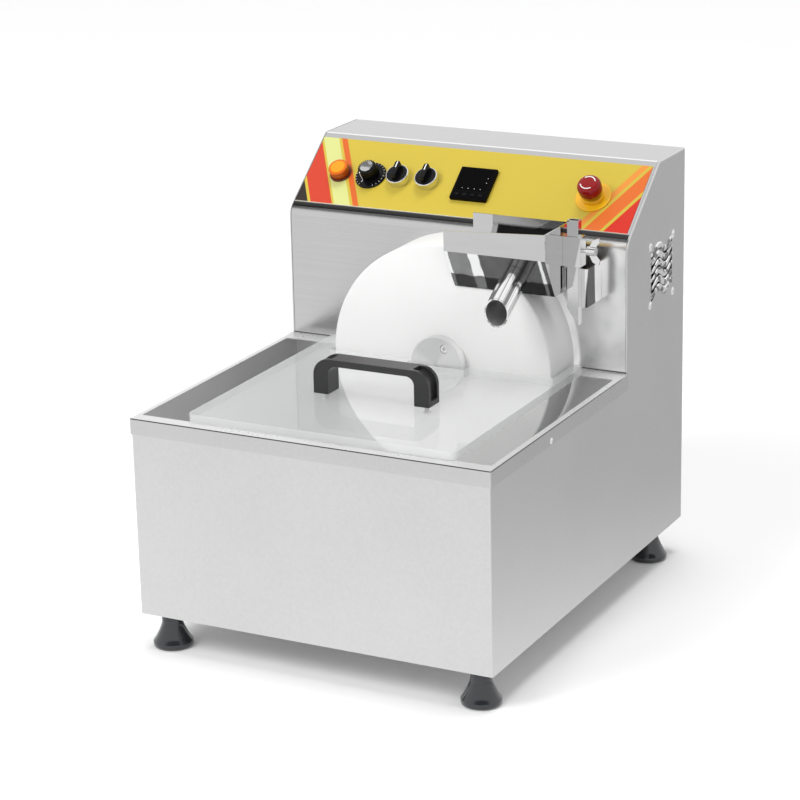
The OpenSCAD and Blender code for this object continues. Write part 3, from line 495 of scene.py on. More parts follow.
@dataclass(frozen=True)
class TurnedSteel:
    """Steel turned on a lathe, with rings about an axis along Y and painted highlight wedges round the axis."""

    name: str
    centre: tuple[float, float, float]
    tint: float = 0.6
    rough: float = 0.3
    pitch: float = 0.0011

    def build(self) -> bpy.types.Material:
        """Makes the material.

        Returns:
            The material.
        """
        g = Graph(self.name)
        x, _, z = g.axis_values(g.place(centre=self.centre))
        radius = (x * x + z * z).math("SQRT")
        groove = (radius / self.pitch).math("FRACT")
        haze = g.noise(g.place((60, 60, 60)), 1.0, 3.0)
        # Painted highlight: bright wedges that turn with the angle round the axis.
        painted_highlight_wedges = (z.math("ARCTAN2", x) * 2.0 + 0.9).math("SINE").ease(-0.5, 0.7)
        tone = g.blend(haze, (self.tint * 0.9,) * 3, (self.tint,) * 3)
        g.set(Base_Color=g.blend(painted_highlight_wedges * 0.75, tone, (1.0, 1.0, 1.0)), Metallic=1.0,
              Roughness=self.rough + haze * 0.1,
              Normal=g.bump((groove - 0.5).absolute(), 0.06, 0.0003))
        return g.material


@dataclass(frozen=True)
class Plastic:
    """Moulded plastic or rubber with a fine texture."""

    name: str
    colour: Colour
    rough: float = 0.4
    texture: float = 900.0
    relief: float = 0.08
    coat: float = 0.0
    vary: float = 0.12
    ior: float = 1.5

    def build(self) -> bpy.types.Material:
        """Makes the material.

        Returns:
            The material.
        """
        g = Graph(self.name)
        skin = g.noise(g.place((self.texture,) * 3), 1.0, 2.0)
        worn = g.noise(g.place((22, 22, 22)), 1.0, 4.0)
        low = tuple(c * (1 - self.vary) for c in self.colour)
        high = tuple(min(1.0, c * (1 + self.vary)) for c in self.colour)
        g.set(Base_Color=g.blend(worn, low, high), Roughness=self.rough + (worn - 0.5) * 0.14,
              Coat_Weight=self.coat, Coat_Roughness=0.08, IOR=self.ior,
              Normal=g.bump(skin, self.relief, 0.0003))
        return g.material


@dataclass(frozen=True)
class WheelPlastic:
    """White acetal of the wheel with turning marks, slight shading, a tread painted greyer as shade and rear faces
    that glow as painted light.
    """

    name: str
    centre: tuple[float, float, float]
    tread: float
    colour: Colour = (0.90, 0.90, 0.895)

    def build(self) -> bpy.types.Material:
        """Makes the material.

        Returns:
            The material.
        """
        g = Graph(self.name)
        x, _, z = g.axis_values(g.place(centre=self.centre))
        radius = (x * x + z * z).math("SQRT")
        mark = (radius / 0.0016).math("FRACT")
        haze = g.noise(g.place((14, 14, 14)), 1.0, 4.0)
        face = g.blend(haze, tuple(c * 0.97 for c in self.colour), self.colour)
        # Painted light: faces turned to the back give off a faint glow.
        painted_glow_mask = g.normal()[1].ease(0.3, 0.8)
        # Painted shade: the tread, beyond its radius, is greyer than the faces.
        g.set(Base_Color=g.blend(radius.ease(self.tread - 0.001, self.tread), face, (0.80, 0.80, 0.80)),
              Roughness=0.36 + haze * 0.12, IOR=1.48,
              Subsurface_Weight=0.06, Subsurface_Radius=(0.004, 0.004, 0.004),
              Emission_Color=g.blend(painted_glow_mask, (0.0, 0.0, 0.0), (1.0, 1.0, 1.0)), Emission_Strength=0.5,
              Normal=g.bump((mark - 0.5).absolute(), 0.03, 0.0003))
        return g.material


@dataclass(frozen=True)
class ClearSheet:
    """Clear cast sheet with faint finger marks and paler sawn edges."""

    name: str
    tint: Colour = (0.93, 0.94, 0.94)
    face: float = 0.27
    edge: float = 0.45

    def build(self) -> bpy.types.Material:
        """Makes the material.

        Returns:
            The material.
        """
        g = Graph(self.name)
        touch = g.noise(g.place((26, 26, 26)), 1.0, 5.0, 0.65)
        up = g.normal()[2].absolute()
        side = 1.0 - up.ease(0.3, 0.7)
        g.set(Base_Color=self.tint, Metallic=0.15, Roughness=0.02 + touch.ease(0.5, 0.85) * 0.06, IOR=1.49,
              Alpha=self.face + side * (self.edge - self.face) + touch.ease(0.55, 0.8) * 0.03)
        return g.material


@dataclass(frozen=True)
class GlowLens:
    """Coloured lens with a flat top painted paler as light, a groove and side painted deeper as shade, and a soft
    inner light.
    """

    name: str
    top: Colour
    ring: Colour
    side: Colour
    centre: tuple[float, float, float]
    axis: tuple[float, float, float]
    radius: float
    glow: float = 0.12

    def build(self) -> bpy.types.Material:
        """Makes the material.

        Returns:
            The material.
        """
        g = Graph(self.name)
        haze = g.noise(g.place((140, 140, 140)), 1.0, 3.0)
        aside = g.node("ShaderNodeVectorMath", {"operation": "CROSS_PRODUCT"},
                       {0: g.place(centre=self.centre), 1: self.axis}).outputs[0]
        reach = Value(g, g.node("ShaderNodeVectorMath", {"operation": "LENGTH"}, {0: aside}).outputs["Value"])
        part = reach / self.radius
        # Painted light and shade: the flat top is paler, the groove round it and the side deeper.
        tone = g.blend(part.ease(0.97, 1.0), g.blend(part.ease(0.72, 0.78), self.top, self.ring), self.side)
        g.set(Base_Color=tone, Roughness=0.22 + haze * 0.08, IOR=1.45,
              Emission_Color=tone, Emission_Strength=self.glow,
              Normal=g.bump(haze, 0.05, 0.0004))
        return g.material


@dataclass(frozen=True)
class PanelPrint:
    """Yellow control film with slanted bars at its two ends.

    The bars are a plain design of this part's own.
    """

    name: str
    origin: tuple[float, float, float]
    tilt: float
    left: float
    right: float
    ground: Colour = srgb(198, 176, 62)
    lean: float = 0.55

    def build(self) -> bpy.types.Material:
        """Makes the material.

        Returns:
            The material.
        """
        g = Graph(self.name)
        x, y, z = g.axis_values(g.place(centre=self.origin))
        rise = y * math.cos(self.tilt) + z * math.sin(self.tilt)
        fleck = g.noise(g.place((420, 420, 420)), 1.0, 2.0)
        tone: Any = g.blend(fleck, tuple(c * 0.95 for c in self.ground), self.ground)
        lean_left = x + rise * self.lean
        for start, wide, colour in self.left_bars():
            edge = self.left + start
            tone = g.blend(lean_left.band(edge, edge + wide, 0.0004), tone, colour)
        lean_right = x - rise * self.lean
        for start, wide, colour in self.right_bars():
            edge = self.right - start - wide
            tone = g.blend(lean_right.band(edge, edge + wide, 0.0004), tone, colour)
        tone = g.blend(1.0 - rise.ease(0.0004, 0.0009), tone, srgb(226, 222, 204))
        g.set(Base_Color=tone, Roughness=0.42 + fleck * 0.12, IOR=1.5,
              Normal=g.bump(fleck, 0.06, 0.0002))
        return g.material

    @staticmethod
    def left_bars() -> list[tuple[float, float, Colour]]:
        """Gives start, width and colour of each bar at the left end."""
        return [(-0.06, 0.078, srgb(34, 24, 20)), (0.022, 0.030, srgb(196, 60, 36)),
                (0.055, 0.022, srgb(204, 208, 132)), (0.081, 0.008, srgb(206, 96, 36))]

    @staticmethod
    def right_bars() -> list[tuple[float, float, Colour]]:
        """Gives start, width and colour of each bar at the right end."""
        return [(-0.06, 0.088, srgb(200, 42, 26)), (0.033, 0.020, srgb(212, 104, 40)),
                (0.058, 0.009, srgb(220, 140, 58))]


@dataclass(frozen=True)
class Paper:
    """Pale floor, white to the camera, and darker to the right for what mirrors it."""

    name: str
    colour: Colour = (0.97, 0.97, 0.97)
    lift: float = 0.03
    bright: float = 1.0
    dim: float = 0.47

    def build(self) -> bpy.types.Material:
        """Makes the material.

        Returns:
            The material.
        """
        g = Graph(self.name)
        g.set(Base_Color=self.colour, Roughness=0.9)
        path = g.node("ShaderNodeLightPath")
        seen = Value(g, path.outputs["Is Camera Ray"])
        mirrored = Value(g, path.outputs["Is Glossy Ray"])
        x, y, _ = g.axis_values(g.place())
        below = (1.0 - x.absolute().ease(0.19, 0.25)) * (1.0 - y.absolute().ease(0.23, 0.30))
        mirrored = mirrored * (1.0 - below)
        right = (x * 0.8 + y * 0.6).ease(-0.1, 0.7)
        far = (y * -1.0).ease(0.4, 1.3) * 0.16
        card = g.blend(right, g.blend(far, (self.bright,) * 3, (0.0, 0.0, 0.0)), (self.dim,) * 3)
        white = g.node("ShaderNodeEmission", inputs={
            "Color": g.blend(mirrored, (1.0, 1.0, 1.0), card), "Strength": 1.0})
        mix = g.node("ShaderNodeMixShader", inputs={
            0: (seen * self.lift + mirrored * 0.85).math("MINIMUM", 1.0),
            1: g.shader.outputs[0], 2: white.outputs[0]})
        g.feed(g.end.inputs["Surface"], mix.outputs[0])
        return g.material


def to_object(name: str, mesh: bpy.types.Mesh, angle: float = 35.0) -> bpy.types.Object:
    """Links a mesh as a smooth-shaded object at the origin.

    Args:
        name: The object's name.
        mesh: The finished mesh.
        angle: Edges sharper than this, in degrees, stay sharp.

    Returns:
        The new object.
    """
    mesh.shade_smooth()
    mesh.set_sharp_from_angle(angle=math.radians(angle))
    made = bpy.data.objects.new(name, mesh)
    bpy.context.scene.collection.objects.link(made)
    return made


def from_bmesh(name: str, bm: bmesh.types.BMesh, angle: float = 35.0) -> bpy.types.Object:
    """Turns a bmesh into an object with its faces pointing out.

    Args:
        name: The object's name.
        bm: The shape, which is freed.
        angle: Edges sharper than this, in degrees, stay sharp.

    Returns:
        The new object.
    """
    bmesh.ops.remove_doubles(bm, verts=bm.verts[:], dist=1e-7)
    bmesh.ops.recalc_face_normals(bm, faces=bm.faces[:])
    mesh = bpy.data.meshes.new(name)
    bm.to_mesh(mesh)
    bm.free()
    return to_object(name, mesh, angle)


def baked(obj: bpy.types.Object) -> bpy.types.Object:
    """Replaces an object's mesh by its evaluated one and drops its modifiers.

    Args:
        obj: The object to settle.

    Returns:
        The same object.
    """
    depsgraph = bpy.context.evaluated_depsgraph_get()
    mesh = bpy.data.meshes.new_from_object(obj.evaluated_get(depsgraph))
    obj.modifiers.clear()
    obj.data = mesh
    return obj


def soften(obj: bpy.types.Object, width: float, segments: int = 3, angle: float = 30.0) -> bpy.types.Object:
    """Rounds an object's sharp edges and keeps its flats flat.

    Args:
        obj: The object to finish.
        width: The rounding in metres.
        segments: Steps in the rounding.
        angle: Edges sharper than this, in degrees, are rounded.

    Returns:
        The same object.
    """
    bevel = obj.modifiers.new("edges", "BEVEL")
    bevel.width = width
    bevel.segments = segments
    bevel.limit_method = "ANGLE"
    bevel.angle_limit = math.radians(angle)
    bevel.miter_outer = "MITER_ARC"
    weigh = obj.modifiers.new("flats", "WEIGHTED_NORMAL")
    weigh.keep_sharp = True
    return baked(obj)


def cad_copy(node: str, name: str, angle: float = 35.0,
             shape: Optional[Callable[[bmesh.types.BMesh], None]] = None, flats: bool = True) -> bpy.types.Object:
    """Copies a CAD node as a joined mesh with flat faces, ready to be rounded.

    Args:
        node: The CAD node.
        name: The new object's name.
        angle: Edges sharper than this, in degrees, stay sharp.
        shape: A change made to the copy first.
        flats: Whether the triangles of a flat become one face.

    Returns:
        The new object.
    """
    bm = bmesh.new()
    bm.from_mesh(frame["nodes"][node].data)
    bmesh.ops.remove_doubles(bm, verts=bm.verts[:], dist=2e-6)
    if flats:
        bmesh.ops.dissolve_limit(bm, angle_limit=math.radians(0.5), verts=bm.verts[:], edges=bm.edges[:])
    if shape:
        shape(bm)
    mesh = bpy.data.meshes.new(name)
    bm.to_mesh(mesh)
    bm.free()
    mesh.materials.clear()
    return to_object(name, mesh, angle)


def revolve(profile: Sequence[tuple[float, float]], steps: int, place: Matrix,
            closed: bool = False) -> bmesh.types.BMesh:
    """Turns a profile of radius and height about the place's Z axis.

    Args:
        profile: Points of radius and height in metres.
        steps: Divisions of the turn.
        place: The frame that the shape is put in.
        closed: Joins the last point to the first, for a ring.

    Returns:
        The turned shape.
    """
    bm = bmesh.new()
    rings = []
    for radius, height in profile:
        if radius < 1e-7:
            rings.append([bm.verts.new(place @ Vector((0, 0, height)))])
            continue
        rings.append([bm.verts.new(place @ Vector((
            radius * math.cos(2 * math.pi * i / steps), radius * math.sin(2 * math.pi * i / steps), height)))
            for i in range(steps)])
    pairs = list(zip(rings, rings[1:] + rings[:1])) if closed else list(zip(rings, rings[1:]))
    for low, high in pairs:
        for i in range(steps):
            j = (i + 1) % steps
            if len(low) == 1 and len(high) == 1:
                continue
            if len(low) == 1:
                bm.faces.new((low[0], high[j], high[i]))
            elif len(high) == 1:
                bm.faces.new((low[i], low[j], high[0]))
            else:
                bm.faces.new((low[i], low[j], high[j], high[i]))
    return bm


def arc(centre: tuple[float, float], radius: float, start: float, end: float, steps: int = 6
        ) -> list[tuple[float, float]]:
    """Gives points on an arc between two angles in degrees."""
    turn = [math.radians(start + (end - start) * i / steps) for i in range(steps + 1)]
    return [(centre[0] + radius * math.cos(t), centre[1] + radius * math.sin(t)) for t in turn]


def prism(outline: Sequence[tuple[float, float]], low: float, high: float, place: Matrix
          ) -> bmesh.types.BMesh:
    """Raises a flat outline between two heights of a place.

    Args:
        outline: The outline's points in metres.
        low: The lower height.
        high: The upper height.
        place: The frame that the shape is put in.

    Returns:
        The raised shape.
    """
    bm = bmesh.new()
    floor = [bm.verts.new(place @ Vector((x, y, low))) for x, y in outline]
    roof = [bm.verts.new(place @ Vector((x, y, high))) for x, y in outline]
    bm.faces.new(floor[::-1])
    bm.faces.new(roof)
    for i in range(len(outline)):
        j = (i + 1) % len(outline)
        bm.faces.new((floor[i], floor[j], roof[j], roof[i]))
    return bm


def join(name: str, parts: Iterable[bmesh.types.BMesh], angle: float = 35.0) -> bpy.types.Object:
    """Gathers several shapes in one object.

    Args:
        name: The object's name.
        parts: The shapes, which are freed.
        angle: Edges sharper than this, in degrees, stay sharp.

    Returns:
        The new object.
    """
    whole = bmesh.new()
    for part in parts:
        mesh = bpy.data.meshes.new(name)
        bmesh.ops.recalc_face_normals(part, faces=part.faces[:])
        part.to_mesh(mesh)
        part.free()
        whole.from_mesh(mesh)
        bpy.data.meshes.remove(mesh)
    mesh = bpy.data.meshes.new(name)
    whole.to_mesh(mesh)
    whole.free()
    return to_object(name, mesh, angle)


def rounded(wide: float, tall: float, radius: float, centre: tuple[float, float] = (0, 0), steps: int = 5
            ) -> list[tuple[float, float]]:
    """Gives the outline of a rectangle with round corners.

    Args:
        wide: Its width.
        tall: Its height.
        radius: The corners' radius.
        centre: Its middle.
        steps: Steps in each corner.

    Returns:
        The outline's points.
    """
    cx, cy = centre
    a, b = wide / 2 - radius, tall / 2 - radius
    return (arc((cx + a, cy + b), radius, 0, 90, steps) + arc((cx - a, cy + b), radius, 90, 180, steps)
            + arc((cx - a, cy - b), radius, 180, 270, steps) + arc((cx + a, cy - b), radius, 270, 360, steps))


def finish_piece(obj: bpy.types.Object, material: bpy.types.Material, body: str, slot: str,
                 *nodes: str) -> bpy.types.Object:
    """Gives a piece its material and body, and hides the nodes that it stands for.

    Args:
        obj: The finished object.
        material: Its finish.
        body: The body that it rides on.
        slot: The record's material slot; not used.
        nodes: CAD nodes that it replaces.

    Returns:
        The same object.
    """
    obj.data.materials.clear()
    obj.data.materials.append(material)
    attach(obj, body)
    if nodes:
        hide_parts(*nodes)
    LOG.info("%s rides on %s", obj.name, body)
    return obj


def dress(node: str, material: bpy.types.Material) -> None:
    """Gives a CAD node that stays its finish.

    Args:
        node: The CAD node.
        material: Its finish.
    """
    for spot in frame["nodes"][node].material_slots:
        spot.material = material
    LOG.info("%s keeps its solid", node)


def middle(node: str) -> Vector:
    """Gives the middle of a node's box."""
    low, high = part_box(node)
    return (Vector(low) + Vector(high)) / 2


def joint(name: str) -> dict[str, Any]:
    """Finds one joint of the record."""
    return next(j for j in frame["joints"] if j["name"] == name)


class Geometry(Tree):
    """A geometry tree that is run once on an object.

    Args:
        name: The tree's name.
        inputs: Named number inputs with their values.
    """

    def __init__(self, name: str, inputs: dict[str, float]) -> None:
        """Starts the tree with its named inputs."""
        group = bpy.data.node_groups.new(name, "GeometryNodeTree")
        super().__init__(group)
        self.values = inputs
        self.sockets: dict[str, str] = {}
        group.interface.new_socket("Geometry", in_out="INPUT", socket_type="NodeSocketGeometry")
        for key in inputs:
            made = group.interface.new_socket(key, in_out="INPUT", socket_type="NodeSocketFloat")
            self.sockets[key] = made.identifier
        group.interface.new_socket("Geometry", in_out="OUTPUT", socket_type="NodeSocketGeometry")
        self.entry = self.node("NodeGroupInput")

    def read(self, name: str) -> Value:
        """Gives one named input as a value."""
        return Value(self, self.entry.outputs[name])

    def close(self, geometry: bpy.types.NodeSocket, material: bpy.types.Material) -> None:
        """Realises the instances, sets their material and ends the tree.

        Args:
            geometry: The shape or instances to keep.
            material: Their finish.
        """
        solid = self.node("GeometryNodeRealizeInstances", inputs={0: geometry})
        painted = self.node("GeometryNodeSetMaterial", inputs={"Geometry": solid.outputs[0], "Material": material})
        self.node("NodeGroupOutput", inputs={0: painted.outputs[0]})

    def run(self, obj: bpy.types.Object) -> bpy.types.Object:
        """Runs the tree on an object and keeps the plain mesh.

        Args:
            obj: The object whose mesh feeds the tree.

        Returns:
            The same object.
        """
        modifier = obj.modifiers.new("tree", "NODES")
        modifier.node_group = self.tree
        for key, value in self.values.items():
            modifier[self.sockets[key]] = value
        baked(obj)
        obj.data.shade_smooth()
        obj.data.set_sharp_from_angle(angle=math.radians(35))
        return obj


class Finishes:
    """All the materials of the part."""

    def __init__(self) -> None:
        """Builds each material from the frame's sizes."""
        axle = joint("wheel_turn")["pos_m"]
        lamp = tuple(middle("lamp_lens"))
        low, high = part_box("panel_film")
        tilt = math.acos(-joint("speed_turn")["axis"][2])
        self.casing = SheetSteel("casing_steel", tint=0.69, rough=0.34, grain=Grain.NONE, streak=0.05,
                                 relief=0.05).build()
        self.hood = FoldedSteel("hood_steel", tint=0.58, rough=0.24, grain=Grain.ALONG_X, streak=0.04, relief=0.02,
                                corner=(0.0, low.y, low.z), tilt=tilt).build()
        self.rim = FrostedSteel("rim_steel", tint=0.63, rough=0.3, grain=Grain.NONE, streak=0.04, relief=0.02,
                                pale=0.62, share=0.7, crease=0.85).build()
        self.basin = FrostedSteel("basin_steel", tint=0.66, rough=0.52, grain=Grain.NONE, streak=0.03, relief=0.01,
                                  pale=0.86, share=0.85).build()
        self.bright = TroughSteel("bright_steel", tint=0.62, rough=0.03, smear=0.04,
                                  corner=tuple(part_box("chute")[0])).build()
        spout = next(m for m in frame["record"]["mounts"] if m["name"] == "spout_outside")
        self.tube = TubeSteel("spout_steel", root=tuple(spout["pos_m"]), axis=tuple(spout["axis"]),
                              bore=0.013).build()
        self.post = PolishedSteel("post_steel", tint=0.70, rough=0.07, smear=0.08).build()
        self.bracket = PatchSteel("bracket_steel", tint=0.86, rough=0.07, smear=0.08).build()
        self.plated = SheetSteel("plated_steel", tint=0.86, rough=0.3, grain=Grain.NONE, streak=0.08, relief=0.03,
                                 metal=0.35).build()
        self.chrome = PolishedSteel("chrome_plate", tint=0.8, rough=0.06, smear=0.05).build()
        self.cap = PatchSteel("knob_cap_steel", tint=0.6, rough=0.2, smear=0.1, patch=(80, 80, 80), share=(0.5, 0.6),
                              deep=0.2).build()
        self.louvre = PatchSteel("louvre_steel", tint=0.98, rough=0.2, smear=0.05, patch=(10, 130, 130),
                                 share=(0.5, 0.58), deep=0.25).build()
        self.hub = TurnedSteel("turned_hub", centre=tuple(axle), tint=0.86, rough=0.34).build()
        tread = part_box("wheel")[1].x - axle[0] - 1.5 * MM
        self.wheel = WheelPlastic("wheel_acetal", centre=tuple(axle), tread=tread).build()
        self.clear = ClearSheet("clear_acrylic").build()
        self.handle = Plastic("handle_plastic", (0.022, 0.022, 0.023), rough=0.36, texture=1200, relief=0.05,
                              coat=0.1).build()
        self.knob = Plastic("knob_plastic", (0.005, 0.005, 0.006), rough=0.22, texture=1500, relief=0.02, coat=0.12,
                            ior=1.22).build()
        self.face = Plastic("controller_plastic", (0.002, 0.002, 0.0025), rough=0.36, texture=1600, relief=0.03,
                            ior=1.12).build()
        self.glassy = Plastic("display_window", (0.001, 0.001, 0.001), rough=0.25, texture=400, relief=0.0,
                              ior=1.12).build()
        self.segment = Plastic("display_segments", (0.002, 0.0015, 0.0015), rough=0.4, texture=400, relief=0.0,
                               ior=1.12).build()
        self.key = Plastic("key_plastic", (0.006, 0.006, 0.0065), rough=0.4, texture=1500, relief=0.05,
                           ior=1.18).build()
        self.mark = Plastic("white_mark", (0.78, 0.78, 0.76), rough=0.5, texture=900, relief=0.03, vary=0.04).build()
        self.rubber = Plastic("foot_rubber", (0.016, 0.018, 0.022), rough=0.16, texture=700, relief=0.02,
                              coat=0.6).build()
        self.seal = Plastic("seal_rubber", (0.02, 0.02, 0.02), rough=0.6, texture=600, relief=0.1).build()
        self.dark = Plastic("dark_plastic", (0.03, 0.03, 0.032), rough=0.5, texture=900, relief=0.08).build()
        self.yellow = Plastic("ring_plastic", srgb(232, 176, 24), rough=0.3, texture=900, relief=0.04, coat=0.3,
                              vary=0.06).build()
        self.red = Plastic("stop_plastic", srgb(136, 4, 10), rough=0.1, texture=900, relief=0.01, coat=0.0, vary=0.06,
                           ior=1.4).build()
        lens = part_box("lamp_lens")
        # The lens's top colour is painted paler as light, its ring and side colours deeper as shade.
        self.amber = GlowLens("amber_lens", top=srgb(236, 146, 14), ring=srgb(206, 98, 4), side=srgb(168, 68, 4),
                              centre=lamp, axis=tuple(joint("speed_turn")["axis"]),
                              radius=(lens[1].x - lens[0].x) / 2, glow=0.05).build()
        # Painted reflection: the lamp's black base is coloured brown as if lit by the lens's glow.
        self.brown = Plastic("lamp_base", srgb(86, 28, 14), rough=0.3, texture=900, relief=0.03, coat=0.2).build()
        self.film = PanelPrint("panel_print", origin=(0.0, low.y, low.z), tilt=tilt, left=low.x, right=high.x).build()
        self.motor = Plastic("motor_paint", (0.04, 0.045, 0.05), rough=0.4, texture=500, relief=0.1, coat=0.1).build()
        self.cast = Plastic("cast_grey", (0.12, 0.125, 0.13), rough=0.55, texture=300, relief=0.25).build()
        self.silicone = Plastic("heater_silicone", (0.40, 0.09, 0.05), rough=0.6, texture=300, relief=0.2).build()
        self.blanket = Plastic("blanket_wool", (0.62, 0.57, 0.42), rough=0.9, texture=250, relief=0.5).build()
        self.board = Plastic("board_green", (0.03, 0.16, 0.06), rough=0.4, texture=300, relief=0.1).build()
        self.cream = Plastic("terminal_cream", (0.66, 0.6, 0.46), rough=0.5, texture=700, relief=0.1).build()


@dataclass
class Casing:
    """Folded steel sheets, rim and basin."""

    finishes: Finishes
    edge: float = 0.35 * MM
    corner: float = 1.3 * MM
    roll: float = 2.2 * MM
    raised: float = 0.25 * MM
    fillet: float = 2.4 * MM
    rim_corner: float = 1.9 * MM
    fold_r: float = 20 * MM
    top_r: float = 5 * MM

    def __post_init__(self) -> None:
        """Takes the sheets' outline from the frame."""
        self.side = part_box("casing_wrap")[1].x
        self.path = self.hood_path()

    def build(self) -> None:
        """Makes the sheets with rounded edges."""
        f = self.finishes
        wrap = soften(cad_copy("casing_wrap", "casing_sheets", shape=self.shape_wrap), self.edge)
        finish_piece(wrap, f.casing, "machine", "satin_steel", "casing_wrap")
        hood = soften(cad_copy("hood", "hood_sheet", 20, self.shape_hood), self.edge)
        finish_piece(hood, f.hood, "machine", "satin_steel", "hood")
        rolls = join("rolled_edges", [self.rolled(1.0), self.rolled(-1.0)], 50)
        finish_piece(rolls, f.casing, "machine", "satin_steel")
        cover = soften(cad_copy("rear_cover", "rear_sheet"), self.edge)
        finish_piece(cover, f.casing, "machine", "satin_steel", "rear_cover")
        rim = soften(cad_copy("tank_rim", "rim_frame", shape=self.shape_rim, flats=False), self.edge)
        finish_piece(rim, f.rim, "machine", "bright_steel", "tank_rim")
        self.bead()
        basin = soften(cad_copy("basin", "basin_sheet", flats=False), self.edge)
        finish_piece(basin, f.basin, "machine", "satin_steel", "basin")
        dress("base_plate", f.casing)
        dress("heater_mat", f.silicone)
        dress("insulation", f.blanket)
        dress("temperature_probe", f.plated)

    def bead(self) -> None:
        """Runs a weld fillet along the foot of the housing's wall, on both sides of the wheel."""
        wall, rim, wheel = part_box("hood")[0].y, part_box("tank_rim")[1].z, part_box("wheel")
        into, under, short, clear = 0.8 * MM, 0.4 * MM, 1 * MM, 4 * MM
        outline = [(-into, -under), (self.fillet, -under)]
        outline += arc((self.fillet, self.fillet), self.fillet - 0.2 * MM, 270, 180, 5) + [(-into, self.fillet)]
        across = Matrix(((0, 0, 1, 0), (-1, 0, 0, wall), (0, 1, 0, rim), (0, 0, 0, 1)))
        runs = [(short - self.side, wheel[0].x - clear), (wheel[1].x + clear, self.side - short)]
        beads = join("wall_fillet", [prism(outline, low, high, across) for low, high in runs])
        finish_piece(beads, self.finishes.rim, "machine", "bright_steel")

    def hood_path(self) -> list[tuple[Vector, Vector]]:
        """Follows the hood's outside from the rim to the back.

        Returns:
            Points and outward normals in Y and Z.
        """
        low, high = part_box("hood")
        back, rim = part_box("casing_wrap")[1].y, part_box("tank_rim")[1].z
        axis, spot = joint("speed_turn")["axis"], joint("speed_turn")["pos_m"]
        tilt = math.acos(-axis[2])
        fold_z = spot[2] - (spot[1] - low.y) * math.tan(tilt)
        top_y = spot[1] + (high.z - spot[2]) / math.tan(tilt)
        fold_set = self.fold_r * math.tan((math.pi / 2 - tilt) / 2)
        top_set = self.top_r * math.tan(tilt / 2)
        lean = 90 + math.degrees(tilt)
        path = [(Vector((low.y, rim - 0.002)), Vector((-1, 0)))]
        for centre, radius, start, end in (((low.y + self.fold_r, fold_z - fold_set), self.fold_r, 180, lean),
                                           ((top_y + top_set, high.z - self.top_r), self.top_r, lean, 90)):
            for spot_2d in arc(centre, radius, start, end, 8):
                point = Vector(spot_2d)
                path.append((point, (point - Vector(centre)).normalized()))
        return path + [(Vector((back, high.z)), Vector((0, 1)))]

    def shape_wrap(self, bm: bmesh.types.BMesh) -> None:
        """Draws the side sheets in below the rolled edge and rounds the front corners.

        Args:
            bm: The casing's copy.
        """
        for vert in bm.verts:
            spot = Vector((vert.co.y, vert.co.z))
            for point, way in self.path:
                if abs(vert.co.x) > self.side - 1.5 * MM and (spot - point).length < 0.4 * MM:
                    vert.co.yz = spot - way * (self.roll - 0.8 * MM)
                    break
        front = min(v.co.y for v in bm.verts)
        self.round(bm, lambda p: abs(p.y - front) < 1e-5 and abs(abs(p.x) - self.side) < 1e-5, self.corner)

    def shape_rim(self, bm: bmesh.types.BMesh) -> None:
        """Rounds the rim's outer edges.

        Args:
            bm: The rim's copy.
        """
        top, front = max(v.co.z for v in bm.verts), min(v.co.y for v in bm.verts)
        side = max(v.co.x for v in bm.verts)
        self.round(bm, lambda p: (abs(p.z - top) < 1e-5) + (abs(p.y - front) < 1e-5)
                   + (abs(abs(p.x) - side) < 1e-5) >= 2, self.rim_corner)

    @staticmethod
    def round(bm: bmesh.types.BMesh, chosen: Callable[[Vector], bool], width: float) -> None:
        """Rounds some edges.

        Args:
            bm: The shape.
            chosen: Whether a point is on the edges, asked of each edge's ends and middle.
            width: The rounding in metres.
        """
        edges = [e for e in bm.edges
                 if all(chosen(p) for p in (e.verts[0].co, e.verts[1].co, (e.verts[0].co + e.verts[1].co) / 2))]
        bmesh.ops.bevel(bm, geom=edges, offset=width, segments=4, profile=0.5, affect="EDGES", clamp_overlap=True)

    def shape_hood(self, bm: bmesh.types.BMesh) -> None:
        """Ends the hood's sheet under the rolled edges.

        Args:
            bm: The hood's copy.
        """
        reach = max(v.co.x for v in bm.verts)
        for vert in bm.verts:
            if abs(vert.co.x) > reach - 1e-5:
                vert.co.x = math.copysign(self.side - self.roll - 0.0003, vert.co.x)

    def rolled(self, side: float) -> bmesh.types.BMesh:
        """Sweeps a quarter round along one side of the hood.

        Args:
            side: One for the right side, minus one for the left.

        Returns:
            The swept shape.
        """
        radius = self.roll
        profile = [(self.side + 0.0001 - radius + radius * math.cos(t), self.raised - radius + radius * math.sin(t))
                   for t in (math.radians(11.25 * i) for i in range(9))]
        profile += [(self.side - radius, -0.0006), (self.side - 0.0011, self.raised - radius)]
        bm = bmesh.new()
        rows = [[bm.verts.new((side * x, *(point + way * lift))) for x, lift in profile] for point, way in self.path]
        for low, high in zip(rows, rows[1:]):
            for i in range(len(profile)):
                j = (i + 1) % len(profile)
                bm.faces.new((low[i], low[j], high[j], high[i]))
        bm.faces.new(rows[0])
        bm.faces.new(rows[-1][::-1])
        return bm


